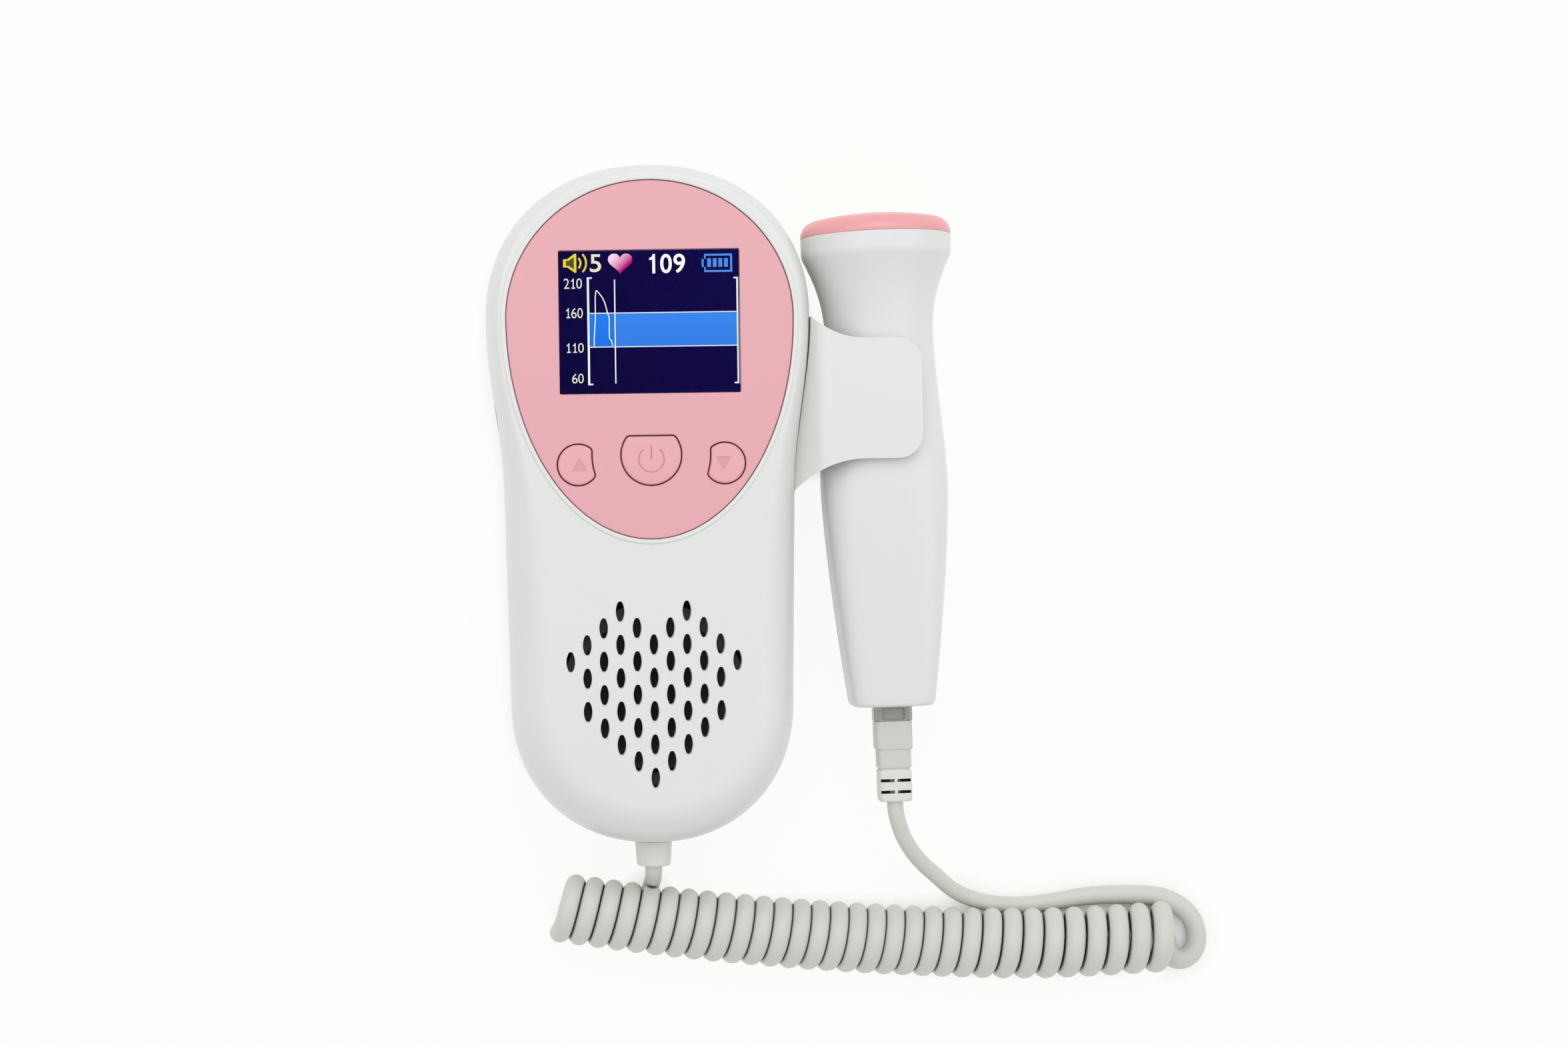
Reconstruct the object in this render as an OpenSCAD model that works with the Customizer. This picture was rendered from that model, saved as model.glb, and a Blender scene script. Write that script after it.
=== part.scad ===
// Handheld fetal doppler monitor with its probe in the side cradle and its curly cord laid out below.
// The monitor lies on its back: X across, Y towards the top of the screen, Z up out of the front face.
// The origin is on the flat of the back, at the middle of the body.

/* [Body] */
// Length of the body
body_len = 135.2; // [130:0.1:140]
// Half-width of the round upper end
top_half_w = 32.3; // [31.5:0.1:33.5]
// Half-width at the waist
waist_half_w = 29.0; // [28.6:0.1:30]
// Half-width where the lower end starts to round
low_half_w = 28.2; // [27.8:0.1:28.6]
// Height of the front face above the table
face_z = 31.0; // [30.5:0.1:33]
// Height of the parting plane between the two shells
parting_z = 16.0; // [15.5:0.1:16.5]
// Wall of the shells
wall = 2.0; // [1.8:0.05:2.2]
// Thickness of the front face over the speaker
face_wall = 2.6; // [2.4:0.05:2.8]
// Width of the rounded rim beside the panel
rim_round = 3.0; // [2.8:0.1:3.2]
// Width of the rounded edge of the lower front
low_round = 9.0; // [7:0.1:9.5]
// Width of the rounded edge of the back
back_round = 4.5; // [4:0.1:4.8]

/* [Panel] */
// Half-width of the egg-shaped panel
panel_half_w = 28.1; // [27.4:0.1:28.2]
// Panel height above its widest line
panel_up = 27.0; // [26.4:0.1:27.1]
// Panel height below its widest line
panel_down = 43.3; // [42:0.1:44]
// Distance of the widest line below the middle of the round upper end
panel_drop = 0.3; // [0.2:0.1:0.6]
// Thickness of the panel
panel_t = 1.2; // [1:0.05:1.3]
// Gap round the panel's edge
seam = 0.15; // [0.1:0.01:0.2]
// Width of the raised lip round the panel
lip_w = 0.9; // [0.6:0.1:1]
// Height of the lip above the face
lip_h = 0.3; // [0.2:0.05:0.4]

/* [Screen] */
// Width of the visible screen
screen_w = 35.3; // [34:0.1:36]
// Height of the visible screen
screen_h = 28.0; // [27:0.1:29]
// Distance of the screen's middle below the middle of the round upper end
screen_drop = 1.0; // [0.6:0.1:1.4]
// Width of the display module
display_w = 45.8; // [44.5:0.1:46.2]
// Height of the display module
display_h = 34.0; // [33:0.1:34.4]

/* [Buttons] */
// Radius of the power button
power_r = 6.1; // [5.8:0.1:6.3]
// Distance of the power button's middle below the middle of the round upper end
power_drop = 27.3; // [27:0.1:27.5]
// Distance from the power button's middle to its flat top edge
power_flat = 3.7; // [3.4:0.1:4]
// Radius of the up and down buttons
side_r = 4.15; // [4:0.05:4.3]
// Distance of the up and down buttons from the centre line
side_x = 14.45; // [14.2:0.05:14.7]
// Distance of the up and down buttons below the power button
side_drop = 1.8; // [1.5:0.1:2.1]
// Radius of the bite in the up and down buttons, about the power button
side_bite_r = 11.6; // [11.4:0.1:11.8]
// Gap round each button
button_gap = 0.25; // [0.2:0.01:0.3]
// Height of the buttons above the panel
button_proud = 0.35; // [0.3:0.05:0.5]
// Travel of the buttons
button_travel = 0.6; // [0.4:0.05:0.6]

/* [Grille] */
// Width of a sound slot
slot_w = 1.5; // [1.2:0.05:1.7]
// Length of a sound slot
slot_len = 3.8; // [3.4:0.1:4.2]
// Pitch of the slots, across and down
slot_pitch = 3.27; // [3.1:0.01:3.3]
// Middle of the heart above the middle of the round lower end
grille_rise = 1.95; // [1.5:0.05:2.4]
// Radius of the speaker
speaker_r = 18.0; // [17:0.1:18.1]
// Depth of the speaker from gasket to magnet
speaker_depth = 8.4; // [8:0.1:8.6]

/* [Battery] */
// Radius of a cell
cell_r = 5.2; // [5:0.05:5.25]
// Length of a cell over its terminal
cell_len = 44.5; // [43.5:0.1:45]
// Room for a contact spring
spring_len = 4.2; // [3.5:0.1:4.4]
// Thickness of the battery cover
cover_t = 1.6; // [1.4:0.05:1.7]
// Top edge of the battery cover below the body's middle
cover_top = 3.7; // [3.5:0.1:4.2]

/* [Probe] */
// Length of the probe over its cap
probe_len = 98.9; // [97:0.1:101]
// Radius of the probe's round head
head_r = 15.0; // [14.7:0.1:15.1]
// Half-width of the neck
neck_half_w = 10.85; // [10.4:0.05:11.2]
// Half-width of the handle at its widest
belly_half_w = 12.55; // [12.3:0.05:12.7]
// Half-width at the lower end
tail_half_w = 8.3; // [8:0.1:8.8]
// Half-thickness of the handle at its widest
belly_half_t = 10.8; // [10.4:0.1:10.9]
// Wall of the probe shells
probe_wall = 2.0; // [1.7:0.05:2.1]
// Height of the cap
cap_h = 4.3; // [4:0.1:4.6]
// Lean of the probe in its cradle
probe_lean = 1.22; // [1:0.01:1.4]

/* [Cradle] */
// Thickness of the cradle's plates
cradle_t = 2.2; // [1.8:0.05:2.4]
// Reach of the cradle from the body's side
cradle_out = 21.2; // [19:0.1:22.5]
// Length of the plates along the probe
cradle_len = 23.8; // [23:0.1:24.5]
// Upper edge of the plates below the middle of the round upper end
cradle_drop = 4.6; // [4.2:0.1:5.2]
// Clearance round the probe
cradle_gap = 0.3; // [0.25:0.01:0.4]

/* [Plug] */
// Width of the plug's steel shell
plug_w = 7.7; // [7.4:0.1:7.9]
// Thickness of the plug's steel shell
plug_t = 4.6; // [4.4:0.1:4.8]
// Length of the steel shell that shows
plug_show = 3.1; // [2.8:0.1:3.4]
// Length of the steel shell inside the socket
plug_in = 8.0; // [7.2:0.1:8.2]
// Clearance of the plug in its socket
plug_gap = 0.1; // [0.08:0.01:0.15]
// Length of the wide part of the overmould
mould_len = 5.7; // [5.4:0.1:6]
// Length of the narrow part of the overmould
collar_len = 3.8; // [3.5:0.1:4.1]
// Length of the slotted boot
boot_len = 6.7; // [6.4:0.1:7]

/* [Cord] */
// Diameter of the cord
cord_d = 3.3; // [3.2:0.05:3.35]
// Radius of the curls, to the middle of the cord
curl_r = 5.25; // [5.1:0.05:5.3]
// Pitch of the closed curls
curl_pitch = 3.86; // [3.84:0.01:3.9]
// Number of curls
curls = 31; // [30:1:32]

/* [Hidden] */
$fn = 64;

// Colours, as they look
white = "#e4e5e2";
pink = "#edb1b5";
coral = "#f0a9ab";
grey_green = "#d3d6cd";
steel = "#a9aaa6";
board_green = "#2f6b46";
dark = "#2b2c2e";
clearance = 0.1;        // between pieces of one body that slide together at assembly
cut = 1;                // how far a cutting solid runs past a face
big = 400;              // size of a half-space

// ---- Body outline -------------------------------------------------------------------------------
top_semi = 30.8;                          // height of the round upper end
top_n = 2.17;                             // its squareness
low_semi = 28.3;                          // height of the round lower end
low_n = 2.15;                             // its squareness
waist_y = 2;                              // where the waist is narrowest
top_y = body_len / 2 - top_semi;          // where the upper end starts
low_y = low_semi - body_len / 2;          // where the lower end starts
panel_y = top_y - panel_drop;
screen_y = top_y - screen_drop;
power_y = top_y - power_drop;
side_y = power_y - side_drop;
grille_mid = low_y + grille_rise;
arc_steps = 12;
side_steps = 8;

function smooth(u) = let (c = min(max(u, 0), 1)) c * c * (3 - 2 * c);
function mix(a, b, u) = a + (b - a) * u;

// Half-width of the body's side between its two round ends
function side_half_w(y) =
    y < waist_y ? mix(low_half_w, waist_half_w, (y - low_y) / (waist_y - low_y))
                : mix(waist_half_w, top_half_w, smooth((y - waist_y) / (top_y - waist_y)));

// Point of a superellipse's first quarter, a degrees up from its widest point
function oval(half_w, semi, n, a) = [half_w * pow(cos(a), 2 / n), semi * pow(sin(a), 2 / n)];

// Right half of the outline, from the top to the bottom
OUTLINE = concat(
    [for (k = [0 : arc_steps]) [0, top_y] + oval(top_half_w, top_semi, top_n, 90 - 90 * k / arc_steps)],
    [for (k = [1 : side_steps]) let (y = mix(top_y, low_y, k / side_steps)) [side_half_w(y), y]],
    [for (k = [1 : arc_steps])
        let (p = oval(low_half_w, low_semi, low_n, 90 * k / arc_steps)) [p.x, low_y - p.y]]);
LAST = len(OUTLINE) - 1;

// Inward normal at each point of the right half
INWARD = [for (i = [0 : LAST])
    let (before = i == 0 ? [-OUTLINE[1].x, OUTLINE[1].y] : OUTLINE[i - 1],
         after = i == LAST ? [-OUTLINE[LAST - 1].x, OUTLINE[LAST - 1].y] : OUTLINE[i + 1],
         t = after - before)
    [t.y, -t.x] / norm(t)];

// Width of the front's rounded edge: narrow beside the panel, wide round the speaker
function front_round(y) = mix(low_round, rim_round, smooth((y + 22) / 50));

// Outline moved inwards by `inset`, plus `part` of the rounded edge's width
function inset_half(inset, part = 0, front = true) = [for (i = [0 : LAST])
    OUTLINE[i] + INWARD[i] * (inset + part * (front ? front_round(OUTLINE[i].y) : back_round))];

// Closed ring, clockwise from above, from a right half
function mirrored(half) = concat(half, [for (i = [len(half) - 2 : -1 : 1]) [-half[i].x, half[i].y]]);
function lifted(ring, z) = [for (p = ring) [p.x, p.y, z]];

// Solid through a stack of rings with equal counts, each symmetric about its first point
module loft(rings) {
    n = len(rings[0]);
    m = n / 2;
    top = (len(rings) - 1) * n;
    strips = concat([[0, 1, n - 1]],
                    [for (i = [1 : m - 2]) [i, i + 1, n - i - 1, n - i]],
                    [[m - 1, m, m + 1]]);
    sides = [for (j = [0 : len(rings) - 2], i = [0 : n - 1])
        let (a = j * n + i, b = j * n + (i + 1) % n) each [[a, b, b + n], [a, b + n, a + n]]];
    polyhedron(points = [for (r = rings) each r],
               faces = concat(sides,
                              [for (f = strips) [for (v = f) v + top]],
                              [for (f = strips) [for (k = [len(f) - 1 : -1 : 0]) f[k]]]));
}

// Everything between two heights
module slab(z0, z1) {
    translate([-big / 2, -big / 2, z0]) cube([big, big, z1 - z0]);
}

// Box from one corner to the other
module block(low, high) {
    translate(low) cube(high - low);
}

// Prism of the body's outline
module outline_prism(inset, z0, z1) {
    translate([0, 0, z0]) linear_extrude(z1 - z0) polygon(mirrored(inset_half(inset)));
}

// ---- Shells: outside and inside faces -----------------------------------------------------------
front_rise = 12;                          // height of the front's rounded edge
back_rise = 11;                           // height of the back's rounded edge
ceiling_z = face_z - face_wall;           // inner face of the front
edge_angles = [15 : 15 : 75];

// Rings of a rounded edge: straight wall from `start_z`, then a quarter oval towards `end_z`
function edge_rings(start_z, turn_z, end_z, inset, front) = let (over = end_z > turn_z ? 0.5 : -0.5)
    concat([lifted(mirrored(inset_half(inset)), start_z), lifted(mirrored(inset_half(inset)), turn_z)],
           [for (a = edge_angles)
               lifted(mirrored(inset_half(inset, 1 - cos(a), front)), mix(turn_z, end_z, sin(a)))],
           [lifted(mirrored(inset_half(inset, 1.06, front)), end_z + over)]);
function reversed(list) = [for (i = [len(list) - 1 : -1 : 0]) list[i]];

module front_form(inset, top_z) {
    intersection() {
        loft(edge_rings(parting_z - 2, face_z - front_rise, top_z, inset, true));
        slab(parting_z, top_z);
    }
}
module rear_form(inset, low_z, high_z) {
    intersection() {
        loft(reversed(edge_rings(parting_z + 4, back_rise, low_z, inset, false)));
        slab(low_z, high_z);
    }
}

// ---- Interlocking lip at the parting plane ------------------------------------------------------
tongue_h = 1.4;
tongue_out = 1.0;                         // the tongue's outer face inside the outline

// ---- Screw towers -------------------------------------------------------------------------------
tower_spots = [for (side = [-1, 1], p = [[15, top_y + 20.2], [21.4, low_y + 3.3]]) [side * p.x, p.y]];
tower_z = parting_z + tongue_h;           // where the front and rear towers meet
tower_r = 4.0;
front_tower_r = 2.9;
screw_r = 1.25;
screw_head_r = 2.6;
screw_head_h = 2.0;
screw_shoulder_z = 11;
screw_len = 11;

module towers(r, z0, z1) {
    for (p = tower_spots) translate([p.x, p.y, z0]) cylinder(r = r, h = z1 - z0);
}

// ---- Main board ---------------------------------------------------------------------------------
board_z = 24.2;                           // upper face
board_t = 1.6;
board_inset = 5;
board_low = grille_mid + speaker_r + 4.85;
standoff_spots = [for (side = [-1, 1], p = [[22, power_y + 3], [18, board_low + 4.5]]) [side * p.x, p.y]];
standoff_r = 2.1;
board_screw_r = 0.9;
board_screw_head_r = 1.7;

// ---- Heart of sound slots -----------------------------------------------------------------------
slot_rows = [[2], [1, 3], [0, 2, 4], [1, 3, 5], [0, 2, 4], [1, 3], [0, 2, 4], [1, 3], [0, 2], [1], [0]];
grille_top = grille_mid + slot_pitch * 5;

// Oval from two large arcs with small round ends
module slot_outline() {
    end_r = slot_w * 0.28;
    side = slot_w / 2;
    reach = slot_len / 2 - end_r;
    arc_r = (reach * reach + side * side - end_r * end_r) / (2 * (side - end_r));
    touch = reach * arc_r / (arc_r - end_r);
    intersection() {
        translate([arc_r - side, 0]) circle(arc_r);
        translate([side - arc_r, 0]) circle(arc_r);
        square([slot_w, 2 * touch], center = true);
    }
    for (end = [-1, 1]) translate([0, end * reach]) circle(end_r);
}
module heart_slots() {
    for (row = [0 : len(slot_rows) - 1], column = slot_rows[row], side = column == 0 ? [1] : [-1, 1])
        translate([side * column * slot_pitch, grille_top - row * slot_pitch, ceiling_z - cut])
            linear_extrude(face_wall + 2 * cut) slot_outline();
}

// ---- Panel --------------------------------------------------------------------------------------
panel_floor = face_z - panel_t;
egg_steps = 72;

function egg(grow) = [for (k = [0 : egg_steps - 1])
    let (a = 360 * k / egg_steps, up = a < 180 ? panel_up : panel_down)
    [(panel_half_w + grow) * cos(a), panel_y + (up + grow) * sin(a)]];

module egg_prism(grow, z0, z1) {
    translate([0, 0, z0]) linear_extrude(z1 - z0) polygon(egg(grow));
}
module screen_prism(grow, z0, z1) {
    block([-screen_w / 2 - grow, screen_y - screen_h / 2 - grow, z0],
          [screen_w / 2 + grow, screen_y + screen_h / 2 + grow, z1]);
}

// ---- Buttons ------------------------------------------------------------------------------------
button_round = 0.8;                       // rounding of the caps' corners
flange_w = 0.9;                           // rim under the front face
flange_t = 0.9;
cap_crown_r = 70;                         // crown of the caps
switch_base_h = 1.8;
switch_stem_h = 0.5;

module power_outline(grow) {
    offset(r = button_round + grow) offset(delta = -button_round) intersection() {
        circle(power_r);
        translate([-power_r, -power_r]) square([2 * power_r, power_r + power_flat]);
    }
}
module side_outline(side, grow) {
    offset(r = button_round + grow) offset(delta = -button_round) difference() {
        circle(side_r);
        translate([-side * side_x, power_y - side_y]) circle(side_bite_r);
    }
}
module at_buttons(side) {
    translate([side * side_x, side == 0 ? power_y : side_y, 0]) children();
}
module button_outline(side, grow) {
    if (side == 0) power_outline(grow);
    else side_outline(side, grow);
}
module button_holes(z0, z1) {
    for (side = [-1, 0, 1]) at_buttons(side)
        translate([0, 0, z0]) linear_extrude(z1 - z0) button_outline(side, button_gap);
}
// Cap with a crown, a rim that holds it under the face, and a nub over its switch
module button(side) {
    flange_top = ceiling_z - clearance;
    cap_top = face_z + button_proud;
    color(pink) at_buttons(side) {
        intersection() {
            translate([0, 0, flange_top - cut / 2]) linear_extrude(cap_top) button_outline(side, 0);
            translate([0, 0, cap_top - cap_crown_r]) sphere(cap_crown_r, $fn = 128);
        }
        translate([0, 0, flange_top - flange_t]) linear_extrude(flange_t) button_outline(side, flange_w);
        translate([0, 0, board_z + switch_base_h + switch_stem_h + button_travel + clearance / 2])
            cylinder(r = 1.4, h = flange_top - flange_t / 2
                     - (board_z + switch_base_h + switch_stem_h + button_travel + clearance / 2));
    }
}

// ---- Headphone jack -----------------------------------------------------------------------------
jack_y = top_y - 18.8;
jack_z = 20;
jack_r = 2.9;
jack_bore_r = 1.8;
jack_len = 14;
jack_nose = 4.4;                          // length of the round barrel
jack_face_x = -side_half_w(jack_y) + 0.4;

module along_x(x0, x1, r) {
    translate([x0, 0, 0]) rotate([0, 90, 0]) cylinder(r = r, h = x1 - x0);
}
module jack_hole() {
    translate([0, jack_y, jack_z]) along_x(-top_half_w - cut, jack_face_x + 5, jack_r + clearance);
}

// ---- Cord gland ---------------------------------------------------------------------------------
gland_z = parting_z;
gland_neck_r = 3.2;
gland_out_r = 3.7;
gland_end_r = 3.35;
gland_len = 5.0;
gland_y = -body_len / 2;

module along_y_down(y0) {
    translate([0, y0, gland_z]) rotate([90, 0, 0]) children();
}
module gland_hole() {
    along_y_down(gland_y + wall + cut) cylinder(r = gland_neck_r + clearance, h = wall + 2 * cut);
}

// ---- Battery well -------------------------------------------------------------------------------
cells = 3;
cell_gap = 0.3;
cell_pitch = 2 * cell_r + cell_gap;
cover_z = 0.3;                            // outer face of the cover above the table
cell_z = cover_z + cover_t + cell_gap + cell_r;
plate_t = 0.4;
bead_r = cover_t / 2;                     // full-round hinge edge of the cover
hinge_y = -cover_top - bead_r;
hinge_z = cover_z + bead_r;
well_top = hinge_y - 1.5;
well_len = cell_len + spring_len + 2 * plate_t;
well_low = well_top - well_len;
well_half_w = cell_pitch + cell_r + cell_gap;
well_wall = 1.5;
well_z = cell_z + cell_r + cell_gap;
cover_half_w = well_half_w + 1.3;
cover_low = well_low - 1.5;
cover_gap = 0.3;
ledge_z = cover_z + cover_t + clearance;
hook_x = 9;
hook_w = 3;
latch_w = 6;

// ---- Cradle -------------------------------------------------------------------------------------
probe_z = parting_z;
cradle_in = belly_half_t + cradle_gap;    // half of the room between the plates
cradle_back_x = top_half_w + 2.1;         // inner face of the cradle's back
cradle_reach = top_half_w + cradle_out;
cradle_high = top_y - cradle_drop;
cradle_low = cradle_high - cradle_len;
cradle_round = 5;                         // inner corner of the cradle
flare_high_r = 14;
flare_low_r = 18;
flare_run = 11.3;                         // from the free edge to where the flares start
flare_high = 5;                           // spread of the upper flare
flare_low = 7;                            // spread of the lower flare
tenon_w = 6;
tenon_z0 = 11.6;
tenon_z1 = 14.6;
tenon_ys = [cradle_low + 4.6, cradle_high - 5.2];
tenon_in = top_half_w - 5.8;

module tenons(grow) {
    for (y = tenon_ys)
        block([tenon_in - grow, y - tenon_w / 2 - grow, tenon_z0 - grow],
              [cradle_back_x - cradle_t / 2, y + tenon_w / 2 + grow, tenon_z1 + grow]);
}

// ==== Housing ====================================================================================
module front_shell() {
    color(white) difference() {
        union() {
            difference() {
                union() {
                    front_form(0, face_z);
                    egg_prism(seam + lip_w, panel_floor, face_z + lip_h);
                }
                front_form(wall, ceiling_z);
                outline_prism(tongue_out - clearance, parting_z - cut, parting_z + tongue_h + clearance);
            }
            intersection() {
                union() {
                    towers(front_tower_r, tower_z, ceiling_z + clearance);
                    for (p = standoff_spots) translate([p.x, p.y, board_z])
                        cylinder(r = standoff_r, h = ceiling_z + clearance - board_z);
                    translate([0, grille_mid, ceiling_z - 2.4]) difference() {
                        cylinder(r = speaker_r + 1.5, h = 2.5);
                        translate([0, 0, -cut]) cylinder(r = speaker_r + clearance, h = 2.4 + cut);
                    }
                }
                front_form(wall / 2, ceiling_z + wall / 2);
            }
        }
        egg_prism(seam, panel_floor, face_z + cut);
        screen_prism(clearance, ceiling_z - cut, face_z);
        button_holes(ceiling_z - cut, face_z);
        heart_slots();
        towers(screw_r + clearance / 2, tower_z - cut, screw_shoulder_z + screw_len + cut);
        for (p = standoff_spots) translate([p.x, p.y, board_z - cut])
            cylinder(r = board_screw_r + clearance / 2, h = 3.5 + cut);
        jack_hole();
        gland_hole();
    }
}

module rear_shell() {
    color(white) difference() {
        union() {
            difference() {
                rear_form(0, 0, parting_z);
                rear_form(wall, wall, parting_z + cut);
            }
            difference() {
                outline_prism(tongue_out, parting_z - wall, parting_z + tongue_h);
                outline_prism(wall, parting_z - 2 * wall, parting_z + tongue_h + cut);
            }
            intersection() {
                union() {
                    towers(tower_r, 0, tower_z);
                    block([-cover_half_w - 1.8, cover_low - 1.8, 0],
                          [cover_half_w + 1.8, -cover_top + 1.8, ledge_z + well_wall]);
                    block([-well_half_w - well_wall, well_low - well_wall, 0],
                          [well_half_w + well_wall, well_top + well_wall, well_z + well_wall]);
                }
                rear_form(wall / 2, 0, parting_z + 3);
            }
        }
        // well for the cells
        block([-well_half_w, well_low, -cut], [well_half_w, well_top, well_z]);
        // recess for the cover, with a round seat for its hinge edge
        block([-cover_half_w - cover_gap, cover_low - cover_gap, -cut],
              [cover_half_w + cover_gap, hinge_y, ledge_z]);
        block([-cover_half_w - cover_gap, hinge_y - cut, -cut],
              [cover_half_w + cover_gap, hinge_y + bead_r + 0.06, hinge_z]);
        translate([0, hinge_y, hinge_z]) along_x(-cover_half_w - cover_gap, cover_half_w + cover_gap,
                                                 bead_r + 0.06);
        // pockets for the cover's hooks
        for (side = [-1, 1])
            block([side * hook_x - hook_w / 2 - cover_gap, well_top - cut, cover_z + cover_t - 0.1],
                  [side * hook_x + hook_w / 2 + cover_gap, hinge_y + 3, hinge_z + 3.5]);
        // finger scoop at the latch
        translate([0, cover_low - 0.5, -7.6]) sphere(9);
        for (p = tower_spots) translate([p.x, p.y, -cut]) {
            cylinder(r = screw_head_r + 0.3, h = screw_shoulder_z + cut);
            cylinder(r = screw_r + 0.3, h = tower_z + 2 * cut);
        }
        tenons(clearance);
        jack_hole();
        gland_hole();
    }
}

module front_panel() {
    color(pink) difference() {
        egg_prism(0, panel_floor, face_z);
        screen_prism(clearance, panel_floor - cut, face_z + cut);
        button_holes(panel_floor - cut, face_z + cut);
    }
}

module case_screws() {
    color(steel) for (p = tower_spots) translate([p.x, p.y, screw_shoulder_z]) {
        cylinder(r = screw_r, h = screw_len);
        translate([0, 0, -screw_head_h]) difference() {
            cylinder(r = screw_head_r, h = screw_head_h);
            for (turn = [0, 90]) rotate([0, 0, turn])
                block([-1.5, -0.35, -cut], [1.5, 0.35, 1.0]);
        }
    }
}

// ==== Display, board and switches ================================================================
glass_h = 1.0;

module screen_window() {
    color("#cfe3ee", 0.5) screen_prism(0, ceiling_z + glass_h, face_z);
}

module display_module() {
    color(dark) {
        block([-display_w / 2, screen_y - display_h / 2, board_z],
              [display_w / 2, screen_y + display_h / 2, ceiling_z]);
        screen_prism(-clearance, ceiling_z - cut, ceiling_z + glass_h);
    }
}

module main_board() {
    color(board_green) difference() {
        intersection() {
            outline_prism(board_inset, board_z - board_t, board_z);
            block([-big, board_low, 0], [big, big, big]);
        }
        towers(front_tower_r + 0.3, parting_z, face_z);
        for (p = standoff_spots) translate([p.x, p.y, board_z - board_t - cut])
            cylinder(r = board_screw_r + 0.2, h = board_t + 2 * cut);
    }
}

module board_parts() {
    underside = board_z - board_t;
    // [x, y, width, length, height] of each flat part
    flat_parts = [[-9, screen_y + 4.2, 10, 10, 1.2], [8, screen_y + 6.2, 12, 14, 2.4],
                  [-8, power_y + 12.5, 7, 5, 1.0], [9, power_y + 14.5, 5, 4, 1.0],
                  [0, board_low + 6.5, 8, 5.5, 1.6]];
    cans = [[-18, screen_y - 5.8], [18, board_low + 16.5], [-16, board_low + 12.5]];
    color(dark) {
        for (p = flat_parts)
            block([p[0] - p[2] / 2, p[1] - p[3] / 2, underside - p[4]],
                  [p[0] + p[2] / 2, p[1] + p[3] / 2, underside]);
        for (p = cans) translate([p.x, p.y, underside - 3.4]) cylinder(r = 2.5, h = 3.4);
    }
}

module board_screws() {
    underside = board_z - board_t;
    color(steel) for (p = standoff_spots) translate([p.x, p.y, underside - 1.1]) {
        cylinder(r = board_screw_head_r, h = 1.1);
        cylinder(r = board_screw_r, h = board_t + 1.1 + 2.8);
    }
}

module tact_switches() {
    color(dark) for (side = [-1, 0, 1]) at_buttons(side) translate([0, 0, board_z]) {
        block([-3, -3, 0], [3, 3, switch_base_h]);
        cylinder(r = 1.75, h = switch_base_h + switch_stem_h);
    }
}

module power_button() { button(0); }
module up_button() { button(-1); }
module down_button() { button(1); }

module headphone_jack() {
    color(dark) difference() {
        union() {
            translate([0, jack_y, jack_z]) along_x(jack_face_x, jack_face_x + jack_nose, jack_r);
            block([jack_face_x + jack_nose - 0.5, jack_y - 3.2, jack_z - jack_r + 0.2],
                  [jack_face_x + jack_len, jack_y + 3.2, board_z - board_t]);
        }
        translate([0, jack_y, jack_z]) along_x(jack_face_x - cut, jack_face_x + jack_len - 1.5, jack_bore_r);
    }
}

// ==== Speaker ====================================================================================
gasket_t = 0.8;
flange_h = 1.0;
basket_h = 3.6;
magnet_r = 11;
basket_wall = 0.8;
speaker_top = ceiling_z - gasket_t;

module at_speaker(z) {
    translate([0, grille_mid, z]) children();
}
module speaker_gasket() {
    color(dark) at_speaker(speaker_top) difference() {
        cylinder(r = speaker_r, h = gasket_t);
        translate([0, 0, -cut]) cylinder(r = speaker_r - 2.5, h = gasket_t + 2 * cut);
    }
}
module speaker_frame() {
    low = -flange_h - basket_h;
    color(steel) at_speaker(speaker_top) rotate_extrude() difference() {
        polygon([[5, low], [magnet_r + 1, low], [speaker_r - 2, -flange_h], [speaker_r, -flange_h],
                 [speaker_r, 0], [5, 0]]);
        polygon([[5 - cut, low + basket_wall], [magnet_r + 0.4, low + basket_wall],
                 [speaker_r - 2.8, -flange_h], [speaker_r - 2.8, cut], [5 - cut, cut]]);
    }
}
module speaker_cone() {
    color(dark) at_speaker(speaker_top) {
        rotate_extrude() polygon([[4.5, -3.4], [speaker_r - 4.5, -0.9], [speaker_r - 2.9, -0.5],
                                  [speaker_r - 2.9, -0.9], [speaker_r - 4.5, -1.4], [4.5, -3.8]]);
        intersection() {
            translate([0, 0, -3.6 - 7]) sphere(9);
            translate([0, 0, -3.8]) cylinder(r = 5, h = 4);
        }
    }
}
module speaker_magnet() {
    low = gasket_t - speaker_depth;
    color(steel) at_speaker(speaker_top) {
        translate([0, 0, low]) cylinder(r = magnet_r, h = speaker_depth - gasket_t - flange_h - basket_h);
    }
}

// ==== Batteries ==================================================================================
// Cell k lies along Y; even cells have their terminal at the top end
function cell_x(k) = (k - 1) * cell_pitch;
function cell_up(k) = k % 2 == 0;
nub_len = 1.2;

module battery_cells() {
    color("#3d6ea8") for (k = [0 : cells - 1])
        translate([cell_x(k), well_low + plate_t + (cell_up(k) ? spring_len + cell_len : 0), cell_z])
            rotate([cell_up(k) ? 90 : -90, 0, 0]) {
                translate([0, 0, nub_len]) cylinder(r = cell_r, h = cell_len - nub_len);
                cylinder(r = 1.9, h = 2 * nub_len);
            }
}
module battery_contacts() {
    color(steel) for (k = [0 : cells - 1], y = [well_low, well_top - plate_t])
        block([cell_x(k) - 4.4, y, cell_z - 2.6], [cell_x(k) + 4.4, y + plate_t, cell_z + 4]);
}
module battery_springs() {
    color(steel) for (k = [0 : cells - 1])
        translate([cell_x(k), cell_up(k) ? well_low + plate_t : well_top - plate_t, cell_z])
            rotate([cell_up(k) ? -90 : 90, 0, 0]) cylinder(r1 = 2.5, r2 = 1.7, h = spring_len);
}

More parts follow.
